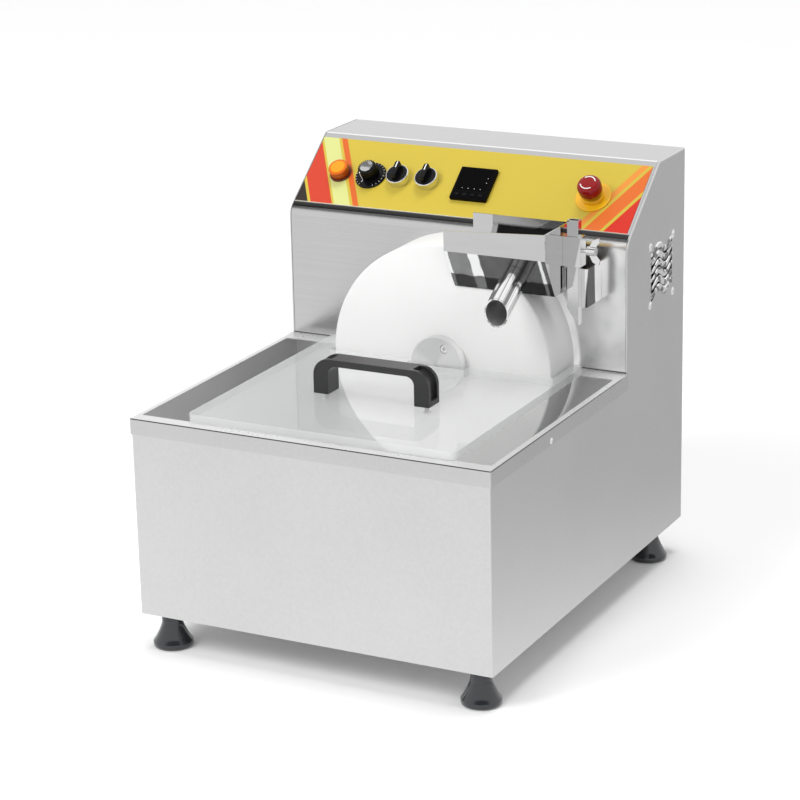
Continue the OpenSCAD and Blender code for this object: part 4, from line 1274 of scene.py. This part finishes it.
@dataclass
class Feet:
    """Four bell-shaped rubber feet."""

    finishes: Finishes
    neck: float = 12.25 * MM
    straight: float = 14 * MM
    toe: float = 3 * MM
    base: float = 5.5 * MM
    hollow: float = 1.35
    steps: int = 64

    def build(self) -> None:
        """Turns each foot from its box."""
        for corner in ("front_left", "front_right", "rear_left", "rear_right"):
            node = f"foot_{corner}"
            low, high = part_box(node)
            place = Matrix.Translation(((low.x + high.x) / 2, (low.y + high.y) / 2, low.z))
            tall, wide = high.z - low.z, (high.x - low.x) / 2
            profile = [(0.0, 0.0)] + arc((wide - self.toe, self.toe), self.toe, -90, 0, 5)
            profile += arc((wide - self.toe, self.base), self.toe, 0, 35, 4)
            profile += [self.flare(t / 8, wide - 1.2 * MM, tall) for t in range(1, 9)]
            profile += [(self.neck, tall - 1 * MM), (self.neck - 1 * MM, tall), (0.0, tall)]
            foot = from_bmesh(f"{node}_bell", revolve(profile, self.steps, place), 60)
            finish_piece(foot, self.finishes.rubber, "machine", "black_rubber", node)
        dress("foot_studs", self.finishes.plated)

    def flare(self, part: float, wide: float, tall: float) -> tuple[float, float]:
        """Finds a point on the hollow flare.

        Args:
            part: Zero at the base, one at the neck.
            wide: The flare's radius at the base.
            tall: The foot's height.

        Returns:
            The point's radius and height.
        """
        start = self.base + 2 * MM
        return (self.neck + (wide - self.neck) * (1 - part) ** self.hollow,
                start + (tall - self.straight - start) * part)


@dataclass
class WheelSet:
    """Wheel, hub plate and the drive behind them."""

    finishes: Finishes
    wall: float = 15 * MM
    web: float = 20 * MM
    boss: float = 24 * MM
    bore: float = 8 * MM
    lip: float = 2.5 * MM
    hub_edge: float = 0.8 * MM
    bolt_edge: float = 0.3 * MM
    steps: int = 160

    def build(self) -> None:
        """Turns the wheel and hub and dresses the drive."""
        f = self.finishes
        low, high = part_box("wheel")
        radius, deep = (high.x - low.x) / 2, high.y - low.y
        centre = middle("wheel")
        place = Matrix.Translation((centre.x, low.y, centre.z)) @ Matrix.Rotation(-math.pi / 2, 4, "X")
        profile = ([(self.bore, 0.0)] + arc((radius - self.lip, self.lip), self.lip, -90, 0)
                   + arc((radius - self.lip, deep - self.lip), self.lip, 0, 90)
                   + [(radius - self.wall, deep), (radius - self.wall, self.web), (self.boss, self.web),
                      (self.boss, deep), (self.bore, deep)])
        wheel = from_bmesh("wheel_drum", revolve(profile, self.steps, place, True))
        finish_piece(wheel, f.wheel, "wheel_set", "white_plastic", "wheel")
        hub = soften(cad_copy("hub_plate", "hub_disc"), self.hub_edge)
        finish_piece(hub, f.hub, "wheel_set", "bright_steel", "hub_plate")
        bolts = soften(cad_copy("hub_bolts", "hub_socket_bolts"), self.bolt_edge, 2)
        finish_piece(bolts, f.plated, "wheel_set", "plated_steel", "hub_bolts")
        for node, finish in (("wheel_shaft", f.plated), ("coupling", f.plated), ("gearbox_shaft", f.plated),
                             ("flange_bearing", f.cast), ("shaft_seal", f.seal), ("gearbox", f.cast),
                             ("motor", f.motor), ("motor_bracket", f.plated)):
            dress(node, finish)


@dataclass
class LidSet:
    """Clear lid with its bridge handle."""

    finishes: Finishes
    polish: float = 0.8 * MM
    grip: float = 1.6 * MM

    def build(self) -> None:
        """Makes the lid and handle."""
        f = self.finishes
        lid = soften(cad_copy("lid", "clear_lid"), self.polish, 2)
        finish_piece(lid, f.clear, "lid_set", "clear_acrylic", "lid")
        handle = soften(cad_copy("lid_handle", "bridge_handle", 20), self.grip, 3, 40)
        finish_piece(handle, f.handle, "lid_set", "black_plastic", "lid_handle")
        dress("handle_screws", f.plated)


@dataclass
class ChuteSet:
    """Scraper chute with spout, sleeve, wing screw, post and bracket."""

    finishes: Finishes
    edge: float = 0.35 * MM
    wing_edge: float = 0.9 * MM

    def build(self) -> None:
        """Makes the sheet pieces, the tubes and the wing screw."""
        f = self.finishes
        for node, name, body, finish in (
                ("chute", "chute_sheet", "chute_set", f.bright), ("spout", "spout_tube", "chute_set", f.tube),
                ("sleeve", "sleeve_block", "chute_set", f.post), ("post", "post_tube", "machine", f.post),
                ("post_bracket", "post_hat", "machine", f.bracket)):
            piece = soften(cad_copy(node, name), self.edge, 2)
            finish_piece(piece, finish, body, "bright_steel", node)
        wing = soften(cad_copy("wing_screw", "wing_screw_head"), self.wing_edge)
        finish_piece(wing, f.chrome, "wing_set", "bright_steel", "wing_screw")


@dataclass
class Screws:
    """Pan-head screws of the sheet metal, each with a cross recess."""

    finishes: Finishes
    head: float = 3.6 * MM
    tall: float = 1.4 * MM
    slot: float = 0.8 * MM
    cross: float = 4.0 * MM
    dome: float = 6.2 * MM
    shank: float = 1.9 * MM
    deep: float = 3.5 * MM
    vent_size: float = 1.35

    def build(self) -> None:
        """Places one head on every screw of the CAD node."""
        spots = self.spots()
        mesh = bpy.data.meshes.new("screw_points")
        mesh.from_pydata([p for p, _ in spots], [], [])
        mesh.attributes.new("aim", "FLOAT_VECTOR", "POINT")
        mesh.attributes.new("size", "FLOAT", "POINT")
        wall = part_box("hood")[0].y
        for i, (spot, way) in enumerate(spots):
            on_vent = way.x > 0.5 and spot.y > wall
            mesh.attributes["aim"].data[i].vector = way
            mesh.attributes["size"].data[i].value = self.vent_size if on_vent else 1.0
        points = bpy.data.objects.new("sheet_screw_heads", mesh)
        bpy.context.scene.collection.objects.link(points)
        head = self.one_head()
        tree = Geometry("screw_heads", {"Size": 1.0})
        info = tree.node("GeometryNodeObjectInfo", inputs={"Object": head})
        way = tree.node("GeometryNodeInputNamedAttribute", {"data_type": "FLOAT_VECTOR"}, {"Name": "aim"})
        turn = tree.node("FunctionNodeAlignRotationToVector", {"axis": "Z"}, {"Vector": way.outputs[0]})
        cloud = tree.node("GeometryNodeMeshToPoints", inputs={"Mesh": tree.entry.outputs["Geometry"]})
        part = tree.node("GeometryNodeInputNamedAttribute", {"data_type": "FLOAT"}, {"Name": "size"})
        spread = tree.node("GeometryNodeInstanceOnPoints", inputs={
            "Points": cloud.outputs[0], "Instance": info.outputs["Geometry"], "Rotation": turn.outputs[0],
            "Scale": Value(tree, part.outputs[0]) * tree.read("Size")})
        tree.close(spread.outputs[0], self.finishes.plated)
        tree.run(points)
        bpy.data.objects.remove(head)
        finish_piece(points, self.finishes.plated, "machine", "plated_steel", "sheet_screws")

    @staticmethod
    def solids(bm: bmesh.types.BMesh) -> list[list[Vector]]:
        """Parts a mesh into its loose solids.

        Args:
            bm: The joined mesh.

        Returns:
            The points of each solid.
        """
        done: set[bmesh.types.BMVert] = set()
        found = []
        for first in bm.verts:
            group, edge = [], [] if first in done else [first]
            while edge:
                vert = edge.pop()
                if vert not in done:
                    done.add(vert)
                    group.append(vert.co.copy())
                    edge += [e.other_vert(vert) for e in vert.link_edges]
            if group:
                found.append(group)
        return found

    def spots(self) -> list[tuple[Vector, Vector]]:
        """Finds the screws among the CAD node's solids.

        Returns:
            Each screw's head face and direction.
        """
        bm = bmesh.new()
        bm.from_mesh(frame["nodes"]["sheet_screws"].data)
        bmesh.ops.remove_doubles(bm, verts=bm.verts[:], dist=2e-6)
        found = []
        for points in self.solids(bm):
            low, high = (Vector(pick(p[i] for p in points) for i in range(3)) for pick in (min, max))
            axis = min(range(3), key=lambda i: (high - low)[i])
            spot = (low + high) / 2
            side = sum(p[axis] - spot[axis] for p in points if (p - spot).length > self.head)
            way = Vector((0, 0, 0))
            way[axis] = 1.0 if side > 0 else -1.0
            spot[axis] = (high if side > 0 else low)[axis] - way[axis] * self.tall
            found.append((spot, way))
        bm.free()
        return found

    def one_head(self) -> bpy.types.Object:
        """Makes one domed head with a cross recess and a short shank.

        Returns:
            The head, pointing up at the origin.
        """
        dome = arc((0.0, self.tall - self.dome), self.dome, 52, 90, 5)
        profile = [(0.0, -self.deep), (self.shank, -self.deep), (self.shank, 0.0), (self.head - 0.1 * MM, 0.0),
                   (self.head, 0.4 * MM)] + dome[:-1] + [(0.0, self.tall)]
        head = from_bmesh("screw_head", revolve(profile, 24, Matrix.Identity(4)))
        cross = join("screw_cross", [
            prism(rounded(self.cross, self.slot, 0.2 * MM), self.tall - 0.9 * MM, 3 * MM, Matrix.Rotation(a, 4, "Z"))
            for a in (0.0, math.pi / 2)])
        cut = head.modifiers.new("cross", "BOOLEAN")
        cut.operation = "DIFFERENCE"
        cut.solver = "EXACT"
        cut.use_self = True
        cut.object = cross
        baked(head)
        bpy.data.objects.remove(cross)
        return head


@dataclass
class Vent:
    """Pressed lips over the wavy slots of the side vent, and the fan behind."""

    finishes: Finishes
    slots: int = 6
    pitch: float = 10.3 * MM
    length: float = 66 * MM
    wave: float = 4.2 * MM
    half: float = 2.1 * MM
    lip: float = 3.7 * MM
    proud: float = 2.0 * MM
    bends: int = 3
    steps: int = 36

    def build(self) -> None:
        """Sweeps a lip along the upper edge of each slot."""
        centre = middle("fan_frame")
        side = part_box("casing_wrap")[1].x
        mesh = bpy.data.meshes.new("vent_lines")
        verts, edges = [], []
        for row in range(self.slots):
            base = centre.z + (row - (self.slots - 1) / 2) * self.pitch + self.half + self.lip * 0.2
            for i in range(self.steps + 1):
                along = self.length * (i / self.steps - 0.5)
                rise = -self.wave * math.sin(along * self.bends * math.pi / self.length)
                verts.append((0.0, centre.y + along, base + rise))
                if i:
                    edges.append((len(verts) - 2, len(verts) - 1))
        mesh.from_pydata(verts, edges, [])
        lips = bpy.data.objects.new("vent_lips", mesh)
        bpy.context.scene.collection.objects.link(lips)
        tree = Geometry("vent_lips", {"Lip": self.lip})
        path = tree.node("GeometryNodeMeshToCurve", inputs={"Mesh": tree.entry.outputs["Geometry"]})
        ring = tree.node("GeometryNodeCurvePrimitiveCircle", {"mode": "RADIUS"},
                         {"Resolution": 10, "Radius": tree.read("Lip")})
        along = Value(tree, tree.node("GeometryNodeSplineParameter").outputs["Factor"])
        swell = 0.55 + (along * math.pi).math("SINE") * 0.65
        tube = tree.node("GeometryNodeCurveToMesh", inputs={
            "Curve": path.outputs[0], "Profile Curve": ring.outputs[0], "Scale": swell, "Fill Caps": True})
        tree.close(tube.outputs[0], self.finishes.louvre)
        tree.run(lips)
        flat = Matrix.Scale(self.proud / self.lip, 4, (1, 0, 0))
        lips.data.transform(Matrix.Translation((side - 0.3 * MM, 0, 0)) @ flat)
        finish_piece(lips, self.finishes.louvre, "machine", "satin_steel")
        dress("fan_frame", self.finishes.dark)
        dress("fan_rotor", self.finishes.dark)


@dataclass
class Control:
    """Something that stands on the sloped control panel."""

    finishes: Finishes
    film: float = 0.5 * MM

    @staticmethod
    def at(x: float) -> Matrix:
        """Gives the frame on the panel at x, with Z out of the panel and Y up its slope.

        Args:
            x: The place across the panel in metres.

        Returns:
            The frame.
        """
        knob = joint("speed_turn")
        across, normal = Vector((1, 0, 0)), -Vector(knob["axis"])
        turn = Matrix((across, normal.cross(across), normal)).transposed().to_4x4()
        return Matrix.Translation((x, *knob["pos_m"][1:])) @ turn


@dataclass
class PanelFilm(Control):
    """Printed film over the panel, and the bodies of the controls behind it."""

    reach: float = 2.6 * MM

    def build(self) -> None:
        """Makes the film and dresses what is fixed behind the panel."""
        film = cad_copy("panel_film", "control_film", shape=self.stretch)
        finish_piece(film, self.finishes.film, "machine", "panel_yellow", "panel_film")
        for node in ("potentiometer", "contact_blocks"):
            dress(node, self.finishes.dark)

    def stretch(self, bm: bmesh.types.BMesh) -> None:
        """Draws the film's right end out to the edge of the sheet.

        Args:
            bm: The film's copy.
        """
        end = max(v.co.x for v in bm.verts)
        for vert in bm.verts:
            if vert.co.x > end - 0.2 * MM:
                vert.co.x += self.reach


@dataclass
class PilotLamp(Control):
    """Amber lamp with a flat-topped lens on a dark base."""

    shank: float = 10.5 * MM
    deep: float = 32 * MM
    collar: float = 1.5 * MM
    seat: float = 3 * MM
    shoulder: float = 2.2 * MM
    tall: float = 13.8 * MM

    def build(self) -> None:
        """Turns the base and the lens, with a groove round the lens's top."""
        f = self.finishes
        low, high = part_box("lamp_lens")
        place, radius = self.at(middle("lamp_lens").x), (high.x - low.x) / 2
        base = [(0.0, -self.deep), (self.shank, -self.deep), (self.shank, self.film),
                (radius + self.collar, self.film)]
        base += arc((radius + 0.0007, 0.0022), 0.0008, 0, 90, 4) + [(radius, self.seat), (0.0, self.seat)]
        finish_piece(from_bmesh("lamp_base", revolve(base, 64, place)), f.brown, "machine", "black_plastic",
                     "lamp_body")
        lens = [(0.0, self.seat), (radius - 0.0006, self.seat), (radius, self.seat + 0.0006), (radius, 0.0108)]
        lens += arc((radius - self.shoulder, 0.0112), self.shoulder, 0, 80, 5)
        lens += [(radius * 0.78, 0.0134), (radius * 0.76, 0.0131), (radius * 0.73, 0.0131), (radius * 0.71, 0.0136)]
        lens += [(radius * 0.4, self.tall), (0.0, self.tall)]
        finish_piece(from_bmesh("lamp_lens_dome", revolve(lens, 72, place), 50), f.amber, "machine",
                     "lamp_amber", "lamp_lens")


@dataclass
class SpeedKnob(Control):
    """Speed knob with a fluted grip, a bright cap and a printed skirt."""

    grip: float = 11.5 * MM
    tall: float = 19.5 * MM
    top: float = 3.5 * MM
    gap: float = 0.3 * MM
    shaft: float = 3 * MM
    deep: float = 16 * MM
    cap: float = 8.2 * MM
    ribs: int = 24
    ticks: int = 11
    first: float = 240.0
    sweep: float = 300.0
    pointer: float = 238.0
    number: float = 3.6 * MM

    def build(self) -> None:
        """Makes the body, flutes, cap, ticks and numbers."""
        f = self.finishes
        low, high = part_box("speed_knob")
        place, skirt = self.at(joint("speed_turn")["pos_m"][0]), (high.x - low.x) / 2
        under, top, grip, tall = self.film + self.gap, self.top, self.grip, self.tall
        profile = [(0.0, -self.deep), (self.shaft, -self.deep), (self.shaft, under), (skirt - 0.0006, under),
                   (skirt, under + 0.0006), (skirt - 0.0004, top - 0.0008), (skirt - 0.0012, top),
                   (grip - 0.0012, top + 0.0004), (grip - 0.0014, tall - 0.0012), (grip - 0.0026, tall), (0.0, tall)]
        knob = join("speed_knob_body", [revolve(profile, 72, place)])
        finish_piece(knob, f.knob, "knob_set", "black_plastic", "speed_knob")
        self.flutes(place)
        cap = [(0.0, tall), (self.cap, tall), (self.cap, tall + 0.0008), (self.cap - 0.0008, tall + 0.0014),
               (self.cap - 0.0022, tall + 0.0012), (0.0, tall + 0.0012)]
        finish_piece(from_bmesh("knob_cap_disc", revolve(cap, 56, place)), f.cap, "knob_set", "chrome", "knob_cap")
        self.marks(place, skirt)
        self.numbers(place)

    def flutes(self, place: Matrix) -> None:
        """Sets ribs round the grip.

        Args:
            place: The knob's frame.
        """
        rib = join("grip_rib", [prism(rounded(2.0 * MM, 1.7 * MM, 0.7 * MM, steps=3), self.top + 0.0004,
                                      self.tall - 0.0016, Matrix.Identity(4))])
        seed = bpy.data.objects.new("knob_flutes", bpy.data.meshes.new("knob_flutes"))
        bpy.context.scene.collection.objects.link(seed)
        tree = Geometry("knob_flutes", {"Radius": self.grip - 0.9 * MM, "Count": float(self.ribs)})
        ring = tree.node("GeometryNodeMeshCircle", inputs={
            "Vertices": tree.read("Count"), "Radius": tree.read("Radius")})
        info = tree.node("GeometryNodeObjectInfo", inputs={"Object": rib})
        spot = tree.node("GeometryNodeInputPosition")
        turn = tree.node("FunctionNodeAlignRotationToVector", {"axis": "X"}, {"Vector": spot.outputs[0]})
        spread = tree.node("GeometryNodeInstanceOnPoints", inputs={
            "Points": ring.outputs[0], "Instance": info.outputs["Geometry"], "Rotation": turn.outputs[0]})
        tree.close(spread.outputs[0], self.finishes.knob)
        tree.run(seed)
        seed.data.transform(place)
        bpy.data.objects.remove(rib)
        finish_piece(seed, self.finishes.knob, "knob_set", "black_plastic")

    def angle(self, part: float) -> float:
        """Gives the dial's angle at a share of its sweep."""
        return math.radians(self.first - self.sweep * part)

    def marks(self, place: Matrix, skirt: float) -> None:
        """Prints the skirt's ticks and the pointer line.

        Args:
            place: The knob's frame.
            skirt: The skirt's radius.
        """
        shapes, last = [], self.ticks * 2 - 2
        for i in range(last + 1):
            turn = place @ Matrix.Rotation(self.angle(i / last), 4, "Z")
            tick = rounded((1.4 if i % 2 else 2.4) * MM, 0.45 * MM, 0.1 * MM, (skirt - 2.0 * MM, 0), 2)
            shapes.append(prism(tick, self.top, self.top + 0.08 * MM, turn))
        turn = place @ Matrix.Rotation(math.radians(self.pointer), 4, "Z")
        upright = rounded(1.2 * MM, 1.3 * MM, 0.3 * MM, (self.grip - 0.2 * MM, 0), 2)
        flat = rounded(3.4 * MM, 1.1 * MM, 0.3 * MM, (self.grip + 1.4 * MM, 0), 2)
        shapes.append(prism(upright, self.top, self.tall - 0.8 * MM, turn))
        shapes.append(prism(flat, self.top, self.top + 0.3 * MM, turn))
        finish_piece(join("dial_marks", shapes), self.finishes.mark, "knob_set", "black_plastic")

    def numbers(self, place: Matrix) -> None:
        """Prints plain numbers round the skirt.

        Args:
            place: The knob's frame.
        """
        printed = bmesh.new()
        for i in range(self.ticks):
            angle = self.angle(i / (self.ticks - 1))
            curve = bpy.data.curves.new("dial_number", "FONT")
            curve.body = str(i)
            curve.size = self.number
            curve.align_x, curve.align_y = "CENTER", "CENTER"
            glyph = bpy.data.objects.new("dial_number", curve)
            bpy.context.scene.collection.objects.link(glyph)
            bpy.context.view_layer.update()
            mesh = bpy.data.meshes.new_from_object(glyph.evaluated_get(bpy.context.evaluated_depsgraph_get()))
            spot = Vector((math.cos(angle), math.sin(angle), 0)) * (self.grip + 3.0 * MM)
            spot.z = self.top + 0.1 * MM
            mesh.transform(place @ Matrix.Translation(spot) @ Matrix.Rotation(angle - math.pi / 2, 4, "Z"))
            printed.from_mesh(mesh)
            bpy.data.objects.remove(glyph)
            bpy.data.meshes.remove(mesh)
        mesh = bpy.data.meshes.new("dial_numbers")
        printed.to_mesh(mesh)
        printed.free()
        finish_piece(to_object("dial_numbers", mesh), self.finishes.mark, "knob_set", "black_plastic")


class Side(Enum):
    """The left and the right selector, by their letters in the record."""

    LEFT = "a"
    RIGHT = "b"


@dataclass
class Selector(Control):
    """Selector switch with a chrome bezel, a turning face and a grip bar."""

    side: Side = Side.LEFT
    tall: float = 11 * MM
    wall: float = 0.9 * MM
    shank: float = 11 * MM
    deep: float = 26 * MM
    stem: float = 6 * MM
    stem_deep: float = 15 * MM
    grip: float = 8.8 * MM

    def build(self) -> None:
        """Makes the bezel, the turning face with its bar, and the pointer line."""
        f = self.finishes
        bezel_node, knob_node = f"selector_{self.side.value}_bezel", f"selector_{self.side.value}_knob"
        body = f"selector_{self.side.value}_set"
        low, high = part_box(bezel_node)
        place, radius, tall = self.at(middle(bezel_node).x), (high.x - low.x) / 2, self.tall
        bore = radius - self.wall
        ring = [(0.0, -self.deep), (self.shank, -self.deep), (self.shank, self.film), (radius, self.film)]
        ring += [(radius, tall - 0.0022)] + arc((radius - 0.0012, tall - 0.0012), 0.0012, 10, 90, 5)
        ring += [(bore + 0.0003, tall), (bore, tall - 0.0003), (bore, 0.003), (self.stem + 0.00005, 0.003),
                 (self.stem + 0.00005, -self.stem_deep - 0.0003), (0.0, -self.stem_deep - 0.0003)]
        finish_piece(from_bmesh(f"{bezel_node}_ring", revolve(ring, 72, place)), f.chrome, "machine", "chrome",
                     bezel_node)
        disc = [(0.0, -self.stem_deep), (self.stem, -self.stem_deep), (self.stem, 0.0033), (bore - 0.0003, 0.0033)]
        disc += arc((bore - 0.0013, tall - 0.0002), 0.001, 0, 90, 4) + [(0.0, tall + 0.0008)]
        bar = prism(rounded(7 * MM, 23 * MM, 3.0 * MM, (0, 1.5 * MM), 6), tall + 0.5 * MM, tall + self.grip, place)
        knob = soften(join(f"{knob_node}_face", [revolve(disc, 64, place), bar]), 0.7 * MM, 3, 50)
        finish_piece(knob, f.knob, body, "black_plastic", knob_node)
        line = prism(rounded(1.5 * MM, 9 * MM, 0.5 * MM, (0, 7.2 * MM), 3), tall + self.grip - 0.1 * MM,
                     tall + self.grip + 0.1 * MM, place)
        finish_piece(join(f"{knob_node}_line", [line]), f.mark, body, "black_plastic")


@dataclass
class Controller(Control):
    """Temperature controller with a dark window, unlit figures and four keys."""

    face: float = 5.7 * MM
    spacing: float = 8.2 * MM
    key_edge: float = 0.5 * MM

    def build(self) -> None:
        """Makes the case, the figures and lamps in the window, and the keys."""
        f = self.finishes
        case = soften(cad_copy("controller", "controller_case"), 0.7 * MM, 3)
        finish_piece(case, f.face, "machine", "black_plastic", "controller")
        dress("controller_window", f.glassy)
        place = self.at(middle("controller_window").x)
        shapes = []
        for row, (up, size) in enumerate(((10.5 * MM, 1.0), (-2.5 * MM, 0.72))):
            for digit in range(3 + row):
                shapes += self.figure(place, (digit - (2 + row) / 2) * self.spacing * size, up, size)
        spots = [(x * MM, -8.2 * MM) for x in (-12, -4, 4, 12)] + [(16.5 * MM, y * MM) for y in (2, 9)]
        dots = [prism(rounded(1.1 * MM, 0.7 * MM, 0.3 * MM, spot, 2), self.face, self.face + 0.08 * MM, place)
                for spot in spots]
        finish_piece(join("display_dots", dots), f.mark, "machine", "display_window")
        finish_piece(join("display_figures", shapes), f.segment, "machine", "display_window")
        for number in range(1, 5):
            key = soften(cad_copy(f"key_{number}", f"key_{number}_cap"), self.key_edge, 3)
            finish_piece(key, f.key, f"key_{number}_set", "key_grey", f"key_{number}")

    def figure(self, place: Matrix, x: float, up: float, size: float) -> list[bmesh.types.BMesh]:
        """Makes the seven bars of one unlit figure.

        Args:
            place: The window's frame.
            x: The figure's middle across the window.
            up: The figure's middle up the window.
            size: The figure's scale.

        Returns:
            The bars.
        """
        wide, tall, bar = 4.0 * MM * size, 4.4 * MM * size, 0.8 * MM * size
        flat = [(x, up + k * tall) for k in (-1, 0, 1)]
        upright = [(x + s * wide / 2, up + k * tall / 2) for s in (-1, 1) for k in (-1, 1)]
        bars = [rounded(wide * 0.8, bar, bar * 0.4, p, 2) for p in flat]
        bars += [rounded(bar, tall * 0.8, bar * 0.4, p, 2) for p in upright]
        return [prism(outline, self.face, self.face + 0.05 * MM, place) for outline in bars]


@dataclass
class StopButton(Control):
    """Stop button with a yellow ring, a collar and a red mushroom head."""

    shank: float = 11 * MM
    deep: float = 26 * MM
    collar: float = 14 * MM
    collar_tall: float = 8 * MM
    stem: float = 7 * MM
    under: float = 14.3 * MM
    top: float = 29 * MM
    dome: float = 6.2 * MM
    arc_out: float = 9.6 * MM
    arc_in: float = 8.3 * MM
    arc_sweep: float = 110.0

    def build(self) -> None:
        """Turns the ring and head and prints two turning arcs on the head."""
        f = self.finishes
        low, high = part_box("stop_ring")
        place, wide, bore = self.at(middle("stop_ring").x), (high.x - low.x) / 2, self.stem + 0.05 * MM
        ring = [(0.0, -self.deep), (self.shank, -self.deep), (self.shank, self.film), (wide - 0.0003, self.film)]
        ring += arc((wide - 0.0007, 0.0018), 0.0007, 0, 90, 4)
        ring += [(self.collar, 0.0026), (self.collar, self.collar_tall - 0.0006),
                 (self.collar - 0.0006, self.collar_tall), (bore, self.collar_tall), (bore, -0.0183), (0.0, -0.0183)]
        finish_piece(from_bmesh("stop_base", revolve(ring, 72, place)), f.yellow, "machine", "ring_yellow",
                     "stop_ring")
        low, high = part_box("stop_head")
        radius, top, lip = (high.x - low.x) / 2, self.top, 1.6 * MM
        head = [(0.0, -0.012), (self.stem, -0.012), (self.stem, self.under), (radius - lip, self.under)]
        head += arc((radius - lip, self.under + lip), lip, -80, 0, 4)
        head += arc((radius - self.dome, top - 0.0066), self.dome, 0, 72, 7)
        head += [(0.006, top - 0.0003), (0.0, top - 0.0001)]
        finish_piece(from_bmesh("stop_mushroom", revolve(head, 72, place), 60), f.red, "stop_set", "stop_red",
                     "stop_head")
        arcs = []
        for start in (20, 200):
            outer = arc((0, 0), self.arc_out, start, start + self.arc_sweep, 14)
            inner = arc((0, 0), self.arc_in, start + self.arc_sweep, start, 14)
            arcs.append(prism(outer + inner, top - 1.2 * MM, top - 0.2 * MM, place))
        finish_piece(join("stop_arcs", arcs), f.mark, "stop_set", "stop_red")


@dataclass
class Electrics:
    """Parts inside the housing and the mains inlet at the back."""

    finishes: Finishes

    def build(self) -> None:
        """Dresses the inner parts and rounds the inlet."""
        f = self.finishes
        inlet = soften(cad_copy("power_inlet", "inlet_socket"), 0.6 * MM, 2)
        finish_piece(inlet, f.dark, "machine", "black_plastic", "power_inlet")
        for node, finish in (("heater_relay", f.dark), ("speed_board", f.board), ("terminal_block", f.cream)):
            dress(node, finish)


class Lamp(Enum):
    """The kinds of lamp, with the setting that softens each."""

    AREA = "size"
    SUN = "angle"


@dataclass
class Studio:
    """Camera, lights and floor."""

    lens: float = 121.17
    reach: float = 3.0879
    target: tuple[float, float, float] = (0.0249, -0.09675, 0.282)
    azimuth: float = 27.606
    elevation: float = 17.838
    roll: float = -1.284
    floor_half: float = 9.0
    room: float = 0.52
    card: tuple[float, float] = (0.62, 0.865)
    card_dark: float = 0.88

    def build(self) -> None:
        """Sets up the scene round the part."""
        self.camera()
        self.floor()
        self.lamp(Lamp.AREA, "key", (-1.3, -2.2, 2.5), (0, 0, 0.3), 62, 1.6)
        self.lamp(Lamp.AREA, "fill", (2.4, -2.0, 1.6), (0.1, 0, 0.3), 5, 1.6)
        self.lamp(Lamp.SUN, "top", (0.05, 0.1, 1.0), (0, 0, 0), 1.45, math.radians(26))
        self.world()
        bpy.context.scene.view_settings.view_transform = "Standard"

    def camera(self) -> None:
        """Puts the camera where the photograph was taken from."""
        az, el, roll = (math.radians(v) for v in (self.azimuth, self.elevation, self.roll))
        back = Vector((math.sin(az) * math.cos(el), -math.cos(az) * math.cos(el), math.sin(el)))
        right = Vector((math.cos(az), math.sin(az), 0))
        up = back.cross(right)
        side = right * math.cos(roll) + up * math.sin(roll)
        head = up * math.cos(roll) - right * math.sin(roll)
        data = bpy.data.cameras.new("view")
        data.lens = self.lens
        data.sensor_width = 36.0
        data.clip_end = 50
        camera = bpy.data.objects.new("view", data)
        turn = Matrix((side, head, back)).transposed().to_4x4()
        camera.matrix_world = Matrix.Translation(Vector(self.target) + back * self.reach) @ turn
        bpy.context.scene.collection.objects.link(camera)
        bpy.context.scene.camera = camera

    def floor(self) -> None:
        """Lays a wide pale floor."""
        bm = bmesh.new()
        bmesh.ops.create_grid(bm, x_segments=8, y_segments=8, size=self.floor_half)
        floor = from_bmesh("floor", bm)
        floor.data.materials.append(Paper("floor_paper").build())

    @staticmethod
    def lamp(kind: Lamp, name: str, spot: Sequence[float], aim: Sequence[float], power: float, spread: float) -> None:
        """Adds one soft lamp that mirrors don't show.

        Args:
            kind: A square panel or a sun.
            name: The lamp's name.
            spot: Where it stands.
            aim: The point that it lights.
            power: Watts of a panel, strength of a sun.
            spread: A panel's side in metres, a sun's angle in radians.
        """
        data = bpy.data.lights.new(name, kind.name)
        data.energy = power
        setattr(data, kind.value, spread)
        lamp = bpy.data.objects.new(name, data)
        lamp.location = spot
        lamp.rotation_euler = (Vector(aim) - Vector(spot)).to_track_quat("-Z", "Y").to_euler()
        lamp.visible_glossy = False
        bpy.context.scene.collection.objects.link(lamp)

    def world(self) -> None:
        """Gives white to the camera, a soft grey room to the surfaces and a dark card to mirrors."""
        world = bpy.data.worlds.new("room")
        bpy.context.scene.world = world
        world.use_nodes = True
        tree = Tree(world.node_tree)
        tree.tree.nodes.clear()
        path = tree.node("ShaderNodeLightPath")
        seen = Value(tree, path.outputs["Is Camera Ray"])
        mirrored = Value(tree, path.outputs["Is Glossy Ray"])
        way = tree.node("ShaderNodeTexCoord").outputs["Generated"]
        split = tree.node("ShaderNodeSeparateXYZ", inputs={0: way})
        ahead, height = Value(tree, split.outputs[1]) * -1.0, Value(tree, split.outputs[2])
        card = 1.0 - height.band(*self.card, 0.02) * ahead.ease(0.02, 0.25) * self.card_dark
        room = seen + (1.0 - seen) * (mirrored * card + (1.0 - mirrored) * self.room)
        sky = tree.node("ShaderNodeBackground", inputs={"Color": (1.0, 1.0, 1.0), "Strength": room})
        tree.node("ShaderNodeOutputWorld", inputs={"Surface": sky.outputs[0]})


def main() -> None:
    """Builds every sub-assembly and the studio."""
    logging.basicConfig(level=logging.INFO, format="%(name)s: %(message)s")
    finishes = Finishes()
    for part in (Casing(finishes), Feet(finishes), WheelSet(finishes), LidSet(finishes), ChuteSet(finishes),
                 Screws(finishes), Vent(finishes), PanelFilm(finishes), PilotLamp(finishes), SpeedKnob(finishes),
                 *(Selector(finishes, side=side) for side in Side), Controller(finishes), StopButton(finishes),
                 Electrics(finishes), Studio()):
        LOG.info("building %s", type(part).__name__)
        part.build()


if __name__ == "__main__":
    main()
